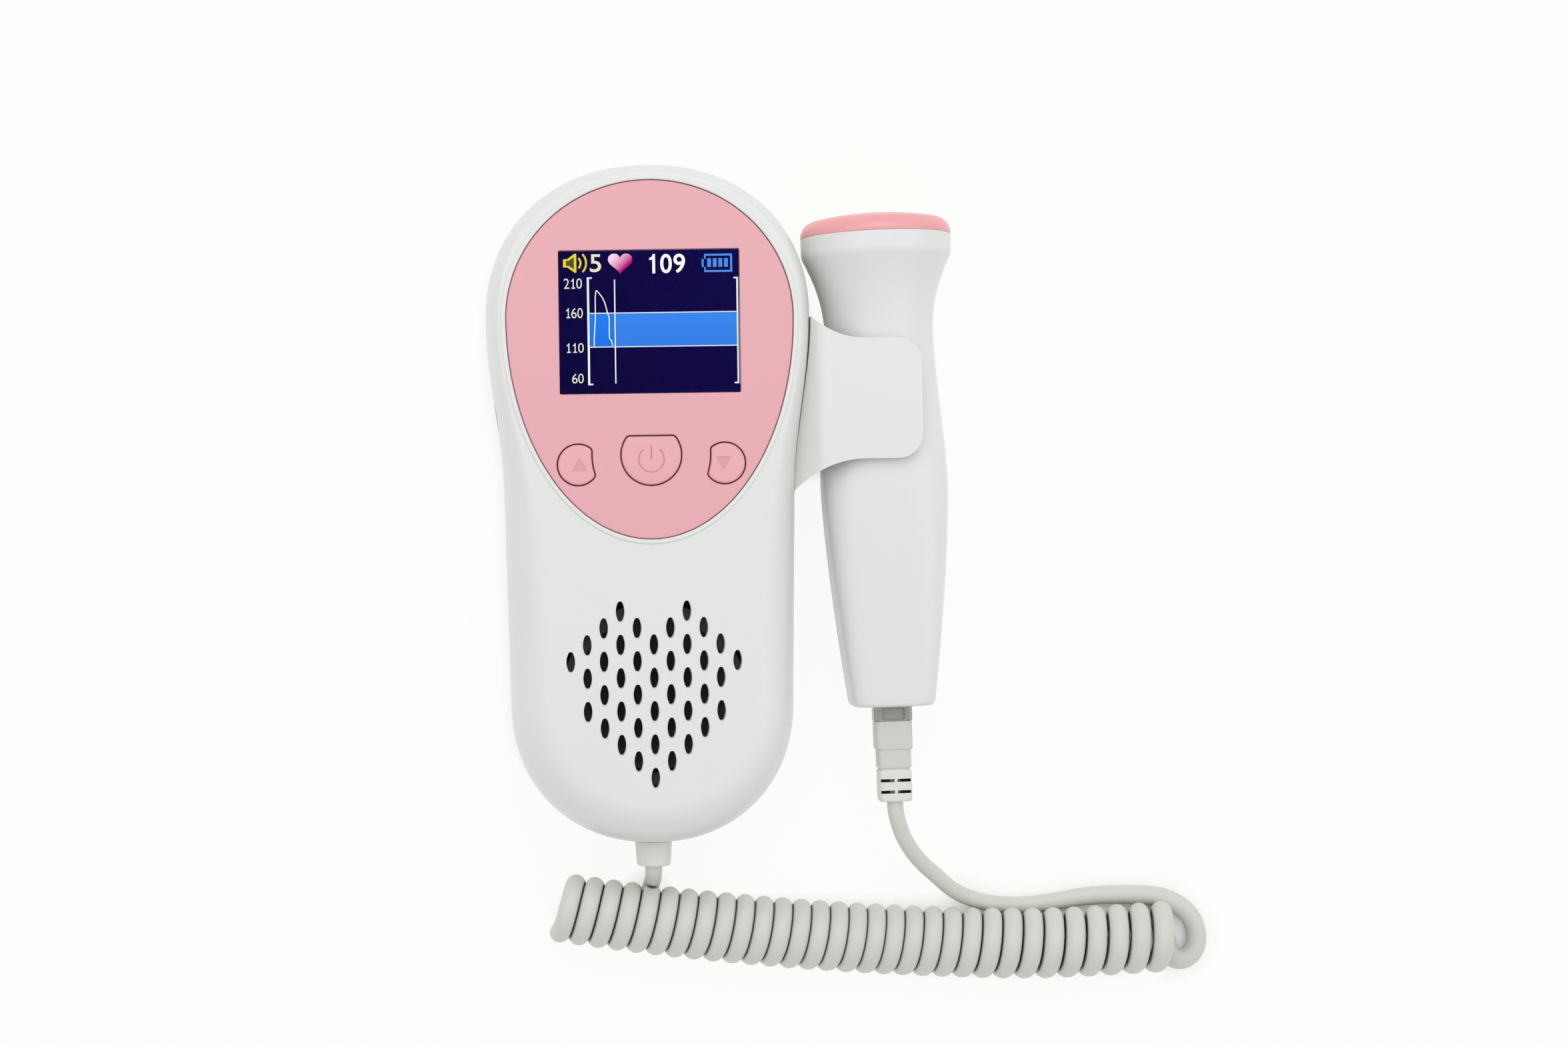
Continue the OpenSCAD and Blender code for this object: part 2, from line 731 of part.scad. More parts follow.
// Cover that hooks in at its top edge, turns about its full-round edge and latches at the other end
module battery_cover() {
    plate_top = cover_z + cover_t;
    latch_y = well_low + 0.4;
    color(white) {
        difference() {
            block([-cover_half_w, cover_low, cover_z], [cover_half_w, hinge_y, plate_top]);
            for (k = [0 : 5])
                block([-6, cover_low + 3 + 1.6 * k, cover_z - cut],
                      [6, cover_low + 3.7 + 1.6 * k, cover_z + 0.3]);
        }
        translate([0, hinge_y, hinge_z]) along_x(-cover_half_w, cover_half_w, bead_r);
        for (side = [-1, 1]) {
            x0 = side * hook_x - hook_w / 2;
            block([x0, hinge_y - 1.4, plate_top - 0.2], [x0 + hook_w, hinge_y - 0.2, plate_top + 1.4]);
            block([x0, hinge_y - 1.4, plate_top + 0.3], [x0 + hook_w, hinge_y + 2.2, plate_top + 1.4]);
        }
        block([-latch_w / 2, latch_y, plate_top - 0.2], [latch_w / 2, latch_y + 1.0, cell_z - 2.8]);
        block([-latch_w / 2, well_low + 0.25, ledge_z + 1.1], [latch_w / 2, latch_y + 0.5, ledge_z + 2.0]);
    }
}

// ==== Cord gland =================================================================================
module cord_gland() {
    collar_y = gland_y + wall + 2.05;
    color(grey_green) along_y_down(collar_y) {
        cylinder(r = gland_neck_r + 1.4, h = 1.5);
        cylinder(r = gland_neck_r, h = collar_y - gland_y + cut);
        translate([0, 0, collar_y - gland_y + 0.05])
            cylinder(r1 = gland_out_r, r2 = gland_end_r, h = gland_len - 0.05);
    }
}

// ==== Cradle =====================================================================================
// Rounded bar that the cradle's two faces are cut from, looking along the probe
module cradle_profile() {
    out_round = cradle_round + cradle_t;
    module rounded(x0, half_h, r) {
        translate([x0, -half_h + r]) square([big, 2 * (half_h - r)]);
        translate([x0 + r, -half_h]) square([big, 2 * half_h]);
        for (s = [-1, 1]) translate([x0 + r, s * (half_h - r)]) circle(r);
    }
    difference() {
        union() {
            rounded(cradle_back_x - cradle_t, cradle_in + cradle_t, out_round);
            translate([0, out_round - cradle_in - cradle_t])
                square([cradle_back_x, 2 * (cradle_in + cradle_t - out_round)]);
        }
        rounded(cradle_back_x, cradle_in, cradle_round);
    }
}
// The cradle from above: plates with rounded free corners, flared where they join the body
module cradle_plan() {
    corner = 4.8;                         // radius of the free corners
    flare_x = cradle_reach - flare_run;
    translate([flare_x, cradle_low]) square([cradle_reach - flare_x - corner, cradle_len]);
    translate([flare_x, cradle_low + corner])
        square([cradle_reach - flare_x, cradle_len - 2 * corner]);
    for (y = [cradle_low + corner, cradle_high - corner])
        translate([cradle_reach - corner, y]) circle(corner);
    difference() {
        translate([0, cradle_low - flare_low]) square([flare_x, cradle_len + flare_low + flare_high]);
        translate([flare_x, cradle_high + flare_high_r]) circle(flare_high_r);
        translate([flare_x, cradle_low - flare_low_r]) circle(flare_low_r);
    }
}
module probe_holder() {
    color(white) {
        difference() {
            intersection() {
                translate([0, big / 2, probe_z]) rotate([90, 0, 0]) linear_extrude(big) cradle_profile();
                linear_extrude(big) cradle_plan();
            }
            outline_prism(-clearance, -cut, face_z + cut);
        }
        tenons(0);
    }
}

// ==== Probe ======================================================================================
// In the probe's own frame the cord end is at the origin, the cap is at +Y and the screen side is +Z.
probe_x = top_half_w + 16;
probe_low_y = cradle_low - 49.4;
rim_s = probe_len - cap_h;                // where the cap meets the head
belly_s = 44;
neck_s = 75.5;
head_s = 91.3;                            // where the head reaches its full radius
tail_half_t = 7.4;
neck_half_t = 10.4;
probe_sides = 32;

module at_probe() {
    translate([probe_x, probe_low_y, probe_z]) rotate([0, 0, probe_lean]) children();
}

function probe_half_w(s) =
    s < belly_s ? mix(tail_half_w, belly_half_w, 1 - pow(1 - s / belly_s, 1.35))
    : s < neck_s ? mix(belly_half_w, neck_half_w, smooth((s - belly_s) / (neck_s - belly_s)))
    : mix(neck_half_w, head_r, pow(min((s - neck_s) / (head_s - neck_s), 1), 1.55));
function probe_half_t(s) =
    s < belly_s ? mix(tail_half_t, belly_half_t, 1 - pow(1 - s / belly_s, 1.35))
    : s < neck_s ? mix(belly_half_t, neck_half_t, smooth((s - belly_s) / (neck_s - belly_s)))
    : mix(neck_half_t, head_r, pow(min((s - neck_s) / (head_s - neck_s), 1), 1.55));
// Squareness of the section: near a rounded rectangle at the cord end, a circle at the head
function probe_n(s) = mix(3.6, 2, smooth(s / neck_s));

function probe_ring(s, inset, y) = [for (k = [0 : probe_sides - 1])
    let (a = 360 * k / probe_sides, n = probe_n(s))
    [-(probe_half_w(s) - inset) * sign(sin(a)) * pow(abs(sin(a)), 2 / n), y,
     (probe_half_t(s) - inset) * sign(cos(a)) * pow(abs(cos(a)), 2 / n)]];

// Places along the probe where its section is set
STATIONS = [0.9, for (s = [5 : 6.5 : belly_s]) s, for (s = [belly_s : 6.3 : neck_s - 1]) s,
            for (s = [neck_s : 2.6 : head_s]) s, rim_s];

module probe_form(inset, low, high) {
    inner = [for (s = STATIONS) if (s > low + 0.5 && s < high - 0.5) s];
    loft(concat([probe_ring(low, inset + (inset == 0 ? 0.7 : 0), low)],
                [for (s = inner) probe_ring(s, inset, s)],
                [probe_ring(high, inset, high)]));
}

socket_half_w = plug_w / 2 + plug_gap;
socket_half_t = plug_t / 2 + plug_gap;
end_wall = 2.2;
probe_rib_ys = [30, 58];
probe_board_t = 1.2;
socket_len = plug_in + 1.6;
probe_board_low = end_wall + socket_len;
probe_board_half_w = 5.5;
probe_board_high = 70;

module probe_half(side) {
    half_low = side > 0 ? 0 : -big / 2;
    difference() {
        intersection() {
            union() {
                difference() {
                    probe_form(0, 0, rim_s);
                    probe_form(probe_wall, end_wall, rim_s + cut);
                }
                intersection() {
                    union() for (y = probe_rib_ys)
                        block([-3, y, side > 0 ? probe_board_t / 2 : -big / 2],
                              [3, y + 1.6, side > 0 ? big / 2 : -probe_board_t / 2]);
                    probe_form(probe_wall / 2, 1, rim_s);
                }
            }
            translate([-big / 2, -big / 2, half_low]) cube([big, big, big / 2]);
        }
        block([-socket_half_w, -cut, -socket_half_t], [socket_half_w, end_wall + cut, socket_half_t]);
    }
}
module probe_front_shell() { color(white) at_probe() probe_half(1); }
module probe_rear_shell() { color(white) at_probe() probe_half(-1); }

cap_edge_r = 3.0;
cap_crown = 60;
cap_cavity_r = 11;
cap_face_t = 1.9;
cavity_h = cap_h - cap_face_t;
crystal_r = 10;
crystal_t = 0.7;
backing_h = 3.0;                          // height of the backing behind the rim

// Turns a profile about the probe's axis, its foot at s
module turned_at(s) {
    at_probe() translate([0, s, 0]) rotate([-90, 0, 0]) children();
}
module probe_cap() {
    drop = cap_crown - sqrt(cap_crown * cap_crown - pow(head_r - cap_edge_r, 2));
    edge_h = cap_h - drop - cap_edge_r;
    color(coral) turned_at(rim_s) difference() {
        rotate_extrude() intersection() {
            union() {
                square([head_r, edge_h]);
                translate([0, 0]) square([head_r - cap_edge_r, cap_h]);
                translate([head_r - cap_edge_r, edge_h]) circle(cap_edge_r);
            }
            translate([0, cap_h - cap_crown]) circle(cap_crown, $fn = 180);
            square([head_r, cap_h]);
        }
        translate([0, 0, -cut]) cylinder(r = cap_cavity_r, h = cavity_h + cut);
    }
}
module piezo_crystals() {
    slit = 0.8;
    color("#c9c2a8") turned_at(rim_s + cavity_h - crystal_t) difference() {
        cylinder(r = crystal_r, h = crystal_t);
        block([-slit / 2, -crystal_r - cut, -cut], [slit / 2, crystal_r + cut, crystal_t + cut]);
    }
}
module crystal_backing() {
    color("#5a5650") turned_at(rim_s - backing_h) {
        cylinder(r = head_r - probe_wall - 0.3, h = backing_h - 0.05);
        cylinder(r = cap_cavity_r - 0.3, h = backing_h + cavity_h - crystal_t);
    }
}
module crystal_leads() {
    lead_r = 0.5;
    low = probe_board_high - 3;
    color("#b5483a") for (x = [-3, 3])
        at_probe() translate([x, low, probe_board_t / 2 + lead_r]) rotate([-90, 0, 0])
            cylinder(r = lead_r, h = rim_s - backing_h - low);
}
module probe_board() {
    color(board_green) at_probe()
        block([-probe_board_half_w, probe_board_low, -probe_board_t / 2],
              [probe_board_half_w, probe_board_high, probe_board_t / 2]);
}
module probe_socket() {
    shell = 0.8;
    color(dark) at_probe() difference() {
        block([-socket_half_w - shell, end_wall, -socket_half_t - shell],
              [socket_half_w + shell, probe_board_low, socket_half_t + shell]);
        block([-socket_half_w, end_wall - cut, -socket_half_t],
              [socket_half_w, probe_board_low - shell, socket_half_t]);
    }
}

// ==== Plug =======================================================================================
// Bar of a rounded section from s0 down to s1 along the probe's axis
module rounded_bar(w, t, r, s0, s1) {
    at_probe() translate([0, s0, 0]) rotate([90, 0, 0]) linear_extrude(s0 - s1) {
        square([w, t - 2 * r], center = true);
        square([w - 2 * r, t], center = true);
        for (x = [-1, 1], y = [-1, 1]) translate([x * (w / 2 - r), y * (t / 2 - r)]) circle(r);
    }
}
steel_t = 0.4;
mould_w = 7.4;
mould_t = 6.0;
collar_w = 6.7;
collar_t = 5.4;
boot_w = 6.6;
boot_t = 5.6;
mould_s = -plug_show;
collar_s = mould_s - mould_len;
boot_s = collar_s - collar_len;
boot_end_s = boot_s - boot_len;

module plug_shell() {
    color(steel) difference() {
        rounded_bar(plug_w, plug_t, 0.5, plug_in, mould_s);
        rounded_bar(plug_w - 2 * steel_t, plug_t - 2 * steel_t, 0.2, plug_in + cut, mould_s - cut);
        at_probe() block([-plug_w / 2 + 1.6, mould_s + 0.4, 0], [plug_w / 2 - 1.6, -0.3, plug_t]);
    }
}
module plug_core() {
    color(grey_green) rounded_bar(plug_w - 2 * steel_t - 0.1, plug_t - 2 * steel_t - 0.1, 0.2,
                                  plug_in - 1.5, mould_s);
}
module plug_body() {
    color(grey_green) {
        rounded_bar(mould_w, mould_t, 1.0, mould_s, collar_s);
        rounded_bar(collar_w, collar_t, 1.0, collar_s + 0.5, boot_s);
    }
}
module plug_boot() {
    slit = 0.5;
    color(grey_green) difference() {
        union() {
            rounded_bar(collar_w - 0.6, collar_t - 0.6, 0.8, boot_s, boot_s - 0.5);
            rounded_bar(boot_w, boot_t, 1.0, boot_s - 0.4, boot_end_s);
        }
        at_probe() for (row = [0, 1], side = [-1, 1], face = [-1, 1])
            translate([side * 1.65, boot_s - 2.4 - 2.3 * row, face * boot_t / 2])
                cube([2.6, slit, 2.4], center = true);
    }
}

// ==== Cord =======================================================================================
table_z = cord_d / 2 + 0.05;              // middle of a cord that lies on the table
plug_end = [probe_x, probe_low_y, probe_z]
    + [-sin(probe_lean) * boot_end_s, cos(probe_lean) * boot_end_s, 0];
tail_start = [0, gland_y - gland_len, gland_z];
// Route of the tail, in Y from the body's lower end
tail_route = [
    [0, -6.4, 15.8], [-0.1, -7.5, 14.8], [-0.2, -8.1, 13], [-0.4, -8, 10.4], [-0.8, -8.3, 7.8],
    [-1.5, -9.2, 5.5], [-2.9, -10.6, 3.4], [-5, -11.6, 2.1], [-7.6, -11.4, 1.7],
    [-10.2, -10.7, 1.7], [-12.6, -10.4, 1.7], [-14.8, -10.7, 1.7], [-16.6, -11.8, 1.7],
    [-17.7, -13.5, 1.8], [-18.1, -15.4, 2.2], [-18.2, -17.2, 3.2], [-18.1, -18.6, 4.8]];
// Route of the lead: first from the plug, then in X and Y from the last curl
plug_route = [
    [0.4, -3.3, -0.4], [2.1, -7.9, -2.4], [5.3, -12.5, -5.4], [9.5, -16.5, -8.4]];
floor_route = [
    [-43.8, 12.6, 4.9], [-38.6, 10.3, 2.9], [-33, 9.3, 1.9], [-28, 9.3, 1.7], [-23, 9.9, 1.7],
    [-18, 10.7, 1.7], [-13, 11.1, 1.7], [-8, 11.1, 1.7], [-3, 10.8, 1.7], [0.5, 9.9, 1.7],
    [3.4, 8.1, 1.7], [5.3, 5.7, 1.7], [5.9, 3.1, 1.7], [5.8, 1.2, 1.7], [5.2, -0.5, 1.7],
    [4.1, -1.8, 1.7], [2.7, -2.4, 1.7], [1.4, -2.1, 1.7], [0.5, -1.2, 1.7]];

coil_x = -18.6;                           // left end of the curls
coil_y = gland_y - 23.2;                  // where the row of curls hangs lowest in plan
coil_bow = 0.00386;                       // how much the row bows
coil_bow_x = 78;
coil_lift = 3.8;                          // rise of the left end where it lies on the cord's tail
curl_rings = 8;
open_from = 17;                           // curl from which the pitch opens
open_rate = 0.027;
start_turn = -90;                         // every curl starts underneath
first_turn = 0.25;                        // the tail itself makes the first quarter

// Middle of the row of curls after u curls
function row_mid(u) = let (x = coil_x + curl_pitch * u + open_rate * pow(max(0, u - open_from), 2))
    [x, coil_y + coil_bow * pow(abs(x - coil_bow_x), 1.7),
     curl_r + table_z + coil_lift * smooth((65 - x) / 80)];
// Outward direction of the cord from the row's middle
function curl_out(u) =
    let (t = row_mid(u + 0.05) - row_mid(u - 0.05), along = t / norm(t),
         side = [-along.y, along.x, 0] / norm([along.x, along.y]), up = cross(along, side),
         a = start_turn - 360 * u)
    side * cos(a) + up * sin(a);
function curl_at(u) = row_mid(u) + curl_r * curl_out(u);
function curl_way(u) = let (t = curl_at(u + 0.01) - curl_at(u - 0.01)) t / norm(t);

// Ring of a tube: `out` and `way` are unit vectors across and along it
function tube_ring(mid, way, out, sides) = let (b = cross(way, out))
    [for (k = [0 : sides - 1]) let (a = 360 * k / sides) mid + cord_d / 2 * (out * cos(a) + b * sin(a))];

// Closed tube through a list of rings
module tube(rings) {
    n = len(rings[0]);
    top = (len(rings) - 1) * n;
    sides = [for (j = [0 : len(rings) - 2], i = [0 : n - 1])
        let (a = j * n + i, b = j * n + (i + 1) % n) each [[a, b + n, b], [a, a + n, b + n]]];
    polyhedron(points = [for (r = rings) each r],
               faces = concat(sides,
                              [for (k = [1 : n - 2]) [0, k, k + 1]],
                              [for (k = [1 : n - 2]) [top, top + k + 1, top + k]]));
}

// Square vector to `way`, as near to `out` as it gets
function squared(out, way) = let (v = out - way * (out * way)) v / norm(v);
// Rings along hand-chosen points, without twist
function path_ways(p, first, last) = [for (i = [0 : len(p) - 1])
    i == 0 ? first : i == len(p) - 1 ? last : let (t = p[i + 1] - p[i - 1]) t / norm(t)];
function path_outs(ways, out, i = 0) = i == len(ways) ? []
    : let (v = squared(out, ways[i])) concat([v], path_outs(ways, v, i + 1));
module cord_along(p, first, last, out) {
    ways = path_ways(p, first, last);
    outs = path_outs(ways, out);
    tube([for (i = [0 : len(p) - 1]) tube_ring(p[i], ways[i], outs[i], 8)]);
}

coil_start = curl_at(first_turn) - cord_d * curl_way(first_turn);
coil_end = curl_at(curls) + cord_d * curl_way(curls);

module cord_tail() {
    route = [for (p = tail_route) p + [0, gland_y, 0]];
    color(grey_green) cord_along(concat([tail_start], route, [coil_start]),
                                 [0, -1, 0], curl_way(first_turn), [1, 0, 0]);
}
module curly_cord() {
    turns = [for (k = [curl_rings * first_turn : curl_rings * curls]) k / curl_rings];
    way = curl_way(first_turn);
    last_way = curl_way(curls);
    color(grey_green) tube(concat(
        [tube_ring(coil_start, way, squared(curl_out(first_turn), way), 6)],
        [for (u = turns) tube_ring(curl_at(u), curl_way(u), squared(curl_out(u), curl_way(u)), 6)],
        [tube_ring(coil_end, last_way, squared(curl_out(curls), last_way), 6)]));
}
module cord_lead() {
    from_plug = [for (p = plug_route) plug_end + p];
    on_floor = [for (p = floor_route) p + [coil_end.x, coil_end.y, 0]];
    color(grey_green) cord_along(concat([plug_end], from_plug, on_floor, [coil_end]),
                                 [sin(probe_lean), -cos(probe_lean), 0], -curl_way(curls), [0, 0, 1]);
}

// Least gap between curls, measured on points of the cord's middle line
gap_steps = 24;
function least_gap() = let (
    p = [for (k = [gap_steps * first_turn : gap_steps * curls]) curl_at(k / gap_steps)])
    min([for (i = [0 : len(p) - 1], j = [i + gap_steps / 2 : min(i + 2 * gap_steps, len(p) - 1)])
        norm(p[i] - p[j])]) - cord_d;
echo(least_gap_between_curls = least_gap());  // curly_cord

front_shell();
rear_shell();
front_panel();
screen_window();
display_module();
main_board();
board_parts();
board_screws();
tact_switches();
power_button();
up_button();
down_button();
headphone_jack();
speaker_frame();
speaker_cone();
speaker_magnet();
speaker_gasket();
case_screws();
battery_cover();
battery_cells();
battery_contacts();
battery_springs();
cord_gland();
probe_holder();
probe_front_shell();
probe_rear_shell();
probe_cap();
piezo_crystals();
crystal_backing();
crystal_leads();
probe_board();
probe_socket();
plug_shell();
plug_core();
plug_body();
plug_boot();
cord_tail();
curly_cord();
cord_lead();
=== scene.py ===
"""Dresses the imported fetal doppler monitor: shells, panel, lit screen, cradled probe, plug and curly cord.

Sizes are in millimetres and in the frame's directions: X across the body, Y towards the top of the screen and Z
up out of the front face. A mesh is turned to metres when it is made.
"""

import logging
import math
from abc import ABC, abstractmethod
from contextlib import contextmanager
from dataclasses import dataclass, field
from enum import Enum
from functools import cache, cached_property
from itertools import pairwise, product
from typing import Any, Iterable, Iterator, Sequence

import bmesh
import bpy
import numpy as np
from mathutils import Matrix, Vector
from mathutils.geometry import delaunay_2d_cdt


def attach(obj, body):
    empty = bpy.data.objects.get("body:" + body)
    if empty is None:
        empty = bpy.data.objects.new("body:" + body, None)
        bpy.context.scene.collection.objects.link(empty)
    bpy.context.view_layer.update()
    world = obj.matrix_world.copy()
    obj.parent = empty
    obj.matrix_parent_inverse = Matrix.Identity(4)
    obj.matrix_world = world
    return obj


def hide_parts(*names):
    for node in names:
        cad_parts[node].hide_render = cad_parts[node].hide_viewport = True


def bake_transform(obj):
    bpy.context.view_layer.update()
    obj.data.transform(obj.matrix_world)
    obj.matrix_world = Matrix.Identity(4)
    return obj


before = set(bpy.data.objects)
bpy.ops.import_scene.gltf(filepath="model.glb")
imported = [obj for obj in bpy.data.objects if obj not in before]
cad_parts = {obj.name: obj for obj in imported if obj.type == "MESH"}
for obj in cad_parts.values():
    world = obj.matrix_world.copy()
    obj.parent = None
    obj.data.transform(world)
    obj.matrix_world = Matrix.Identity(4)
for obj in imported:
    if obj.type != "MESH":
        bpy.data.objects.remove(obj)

LOG = logging.getLogger("doppler")
MM = 0.001

Flat = list[tuple[float, float]]
Place = Sequence[float]
Piece = bpy.types.Object
Tree = bpy.types.NodeTree
Socket = bpy.types.NodeSocket


class Body(Enum):
    """Bodies of the frame, by the names that its joints use."""

    MONITOR = "monitor"
    POWER = "power"
    UP = "up"
    DOWN = "down"
    COVER = "cover"
    PROBE = "probe"
    PLUG = "plug"


class Cut(Enum):
    """Ways to combine two closed solids."""

    AWAY = "DIFFERENCE"
    COMMON = "INTERSECT"
    JOINED = "UNION"


# ---- Numbers and outlines -----------------------------------------------------------------------


def smooth(share: Any) -> Any:
    """Eases a share, or an array of them, from 0 to 1 with level ends."""
    held = np.clip(share, 0, 1)
    return held * held * (3 - 2 * held)


def mix(low: Any, high: Any, share: Any) -> Any:
    """Value a share of the way from low to high."""
    return low + (high - low) * share


def arc(centre: Place, radius: float, start: float, end: float, steps: int) -> Flat:
    """Points along an arc, both ends included.

    Args:
        centre: Middle of the arc.
        radius: Radius of the arc.
        start: First angle in degrees.
        end: Last angle in degrees.
        steps: Number of steps between the ends.

    Returns:
        The points in order.
    """
    angles = [math.radians(mix(start, end, k / steps)) for k in range(steps + 1)]
    return [(centre[0] + radius * math.cos(a), centre[1] + radius * math.sin(a)) for a in angles]


def block(x0: float, y0: float, x1: float, y1: float) -> Flat:
    """Rectangle from one corner to the other."""
    return [(x0, y0), (x1, y0), (x1, y1), (x0, y1)]


def circle(radius: float, count: int, centre: Place = (0, 0)) -> Flat:
    """Closed circle of points."""
    return arc(centre, radius, 0, 360, count)[:-1]


def rounded_rect(width: float, height: float, radius: float, steps: int = 6, centre: Place = (0, 0)) -> Flat:
    """Closed rectangle with rounded corners.

    Args:
        width: Size along the first direction.
        height: Size along the second direction.
        radius: Radius of the corners.
        steps: Steps in each corner.
        centre: Middle of the rectangle.

    Returns:
        The points, anticlockwise.
    """
    points: Flat = []
    for k, (sx, sy) in enumerate([(1, 1), (-1, 1), (-1, -1), (1, -1)]):
        corner = (centre[0] + sx * (width / 2 - radius), centre[1] + sy * (height / 2 - radius))
        points += arc(corner, radius, 90 * k, 90 * k + 90, steps)
    return points


def heading(way: Vector) -> float:
    """Angle of a flat direction in degrees."""
    return math.degrees(math.atan2(way.y, way.x)) % 360


def lifted(points: Iterable[Place], z: float) -> list[tuple[float, float, float]]:
    """Flat points set at a height."""
    return [(p[0], p[1], z) for p in points]


# ---- Closed forms and meshes --------------------------------------------------------------------


class Form:
    """Points and faces of one piece in millimetres, before they become a mesh."""

    def __init__(self) -> None:
        """Starts an empty form."""
        self.points: list[Vector] = []
        self.faces: list[tuple[int, ...]] = []
        self.paints: list[int] = []

    def ring(self, points: Iterable[Place]) -> list[int]:
        """Adds points and gives their numbers."""
        start = len(self.points)
        self.points.extend(Vector(p) for p in points)
        return list(range(start, len(self.points)))

    def lid(self, ring: Sequence[int], paint: int = 0) -> None:
        """Closes a flat ring with one face."""
        self.faces.append(tuple(ring))
        self.paints.append(paint)

    def band(self, low: Sequence[int], high: Sequence[int], paint: int = 0) -> None:
        """Joins two closed rings of equal count with quads."""
        for i in range(len(low)):
            j = (i + 1) % len(low)
            self.faces.append((low[i], low[j], high[j], high[i]))
            self.paints.append(paint)

    def tube(self, rings: Iterable[Iterable[Place]], paint: int = 0, endless: bool = False) -> list[list[int]]:
        """Adds rings joined in order, and the last to the first if endless, and gives their numbers."""
        made = [self.ring(r) for r in rings]
        for low, high in pairwise([*made, made[0]] if endless else made):
            self.band(low, high, paint)
        return made

    def loft(self, rings: Iterable[Iterable[Place]], paint: int = 0) -> "Form":
        """Adds a closed solid through rings, with a flat lid at each end.

        Args:
            rings: Rings of equal count, in order.
            paint: Number of the finish.

        Returns:
            The form itself.
        """
        made = self.tube(rings, paint)
        self.lid(made[0], paint)
        self.lid(made[-1], paint)
        return self

    def bar(self, low: Place, high: Place, paint: int = 0) -> "Form":
        """Adds a box from one corner to the other."""
        return self.prism(block(*low[:2], *high[:2]), low[2], high[2], paint)

    def prism(self, outline: Flat, z0: float, z1: float, paint: int = 0) -> "Form":
        """Adds an upright prism of an outline."""
        return self.loft([lifted(outline, z0), lifted(outline, z1)], paint)

    def turned(self, profile: Flat, count: int = 64, paint: int = 0) -> "Form":
        """Turns a profile of (radius, height) about the Z axis into a closed solid.

        Args:
            profile: Points from one end of the axis to the other; the ends need not reach the axis.
            count: Number of steps round the axis.
            paint: Number of the finish.

        Returns:
            The form itself.
        """
        return self.loft([lifted(circle(max(r, 0.01), count), h) for r, h in profile], paint)

    def plate(self, outer: Sequence[int], holes: Sequence[Sequence[int]] = (), paint: int = 0) -> None:
        """Fills a flat upright ring, leaving its holes open.

        Args:
            outer: Numbers of the outer ring's points.
            holes: Numbers of each hole's points.
            paint: Number of the finish.
        """
        loops = [list(outer), *[list(h) for h in holes]]
        order = [i for loop in loops for i in loop]
        flat = [Vector(self.points[i][:2]) for i in order]
        edges: list[tuple[int, int]] = []
        for loop in loops:
            start = len(edges)
            edges += [(start + k, start + (k + 1) % len(loop)) for k in range(len(loop))]
        corners, _, faces, origin, _, _ = delaunay_2d_cdt(flat, edges, [], 0, 1e-6)
        z = self.points[order[0]].z
        numbers = [order[o[0]] if o else self.ring([(*c, z)])[0] for c, o in zip(corners, origin)]
        a, b = np.array([flat[i] for i, _ in edges]), np.array([flat[j] for _, j in edges])
        middle = np.array([np.mean([corners[v] for v in f], axis=0) for f in faces])
        x, y = middle[:, :1], middle[:, 1:]
        spans = (a[:, 1] > y) != (b[:, 1] > y)
        rise = np.where(b[:, 1] == a[:, 1], 1e-12, b[:, 1] - a[:, 1])
        inside = (spans & (x < a[:, 0] + (y - a[:, 1]) * (b[:, 0] - a[:, 0]) / rise)).sum(1) % 2 == 1
        for face, kept in zip(faces, inside):
            if kept:
                self.lid([numbers[v] for v in face], paint)

    def moved(self, matrix: Matrix) -> "Form":
        """Moves every point by a matrix in millimetres."""
        self.points = [matrix @ p for p in self.points]
        return self

    def set_at(self, spot: Place, turn: Matrix = Matrix()) -> "Form":
        """Turns the form about the origin, then moves it to a spot."""
        return self.moved(Matrix.Translation(spot) @ turn)

    def add(self, other: "Form") -> None:
        """Takes in another form."""
        base = len(self.points)
        self.points += other.points
        self.faces += [tuple(i + base for i in face) for face in other.faces]
        self.paints += other.paints

    def solid(self, name: str, closed: bool = True) -> Piece:
        """Makes the mesh object, in metres and at the origin.

        Args:
            name: Name of the piece.
            closed: Whether its faces are turned outwards.

        Returns:
            The new object, linked to the scene.
        """
        made = bmesh.new()
        corners = [made.verts.new(p * MM) for p in self.points]
        for numbers, paint in zip(self.faces, self.paints):
            face = made.faces.new([corners[i] for i in numbers])
            face.material_index = paint
            face.smooth = True
        bmesh.ops.remove_doubles(made, verts=made.verts, dist=2e-7)
        if closed:
            bmesh.ops.recalc_face_normals(made, faces=made.faces)
        mesh = bpy.data.meshes.new(name)
        made.to_mesh(mesh)
        made.free()
        piece = bpy.data.objects.new(name, mesh)
        bpy.context.scene.collection.objects.link(piece)
        return piece


def settle(piece: Piece) -> Piece:
    """Turns a piece's modifiers into its plain mesh."""
    graph = bpy.context.evaluated_depsgraph_get()
    mesh = bpy.data.meshes.new_from_object(piece.evaluated_get(graph), preserve_all_data_layers=True, depsgraph=graph)
    old = piece.data
    piece.modifiers.clear()
    piece.data = mesh
    bpy.data.meshes.remove(old)
    mesh.name = piece.name
    return piece


@contextmanager
def edited(piece: Piece) -> Iterator[bmesh.types.BMesh]:
    """Opens a piece's mesh for changes, and puts it back."""
    made = bmesh.new()
    made.from_mesh(piece.data)
    yield made
    made.to_mesh(piece.data)
    made.free()


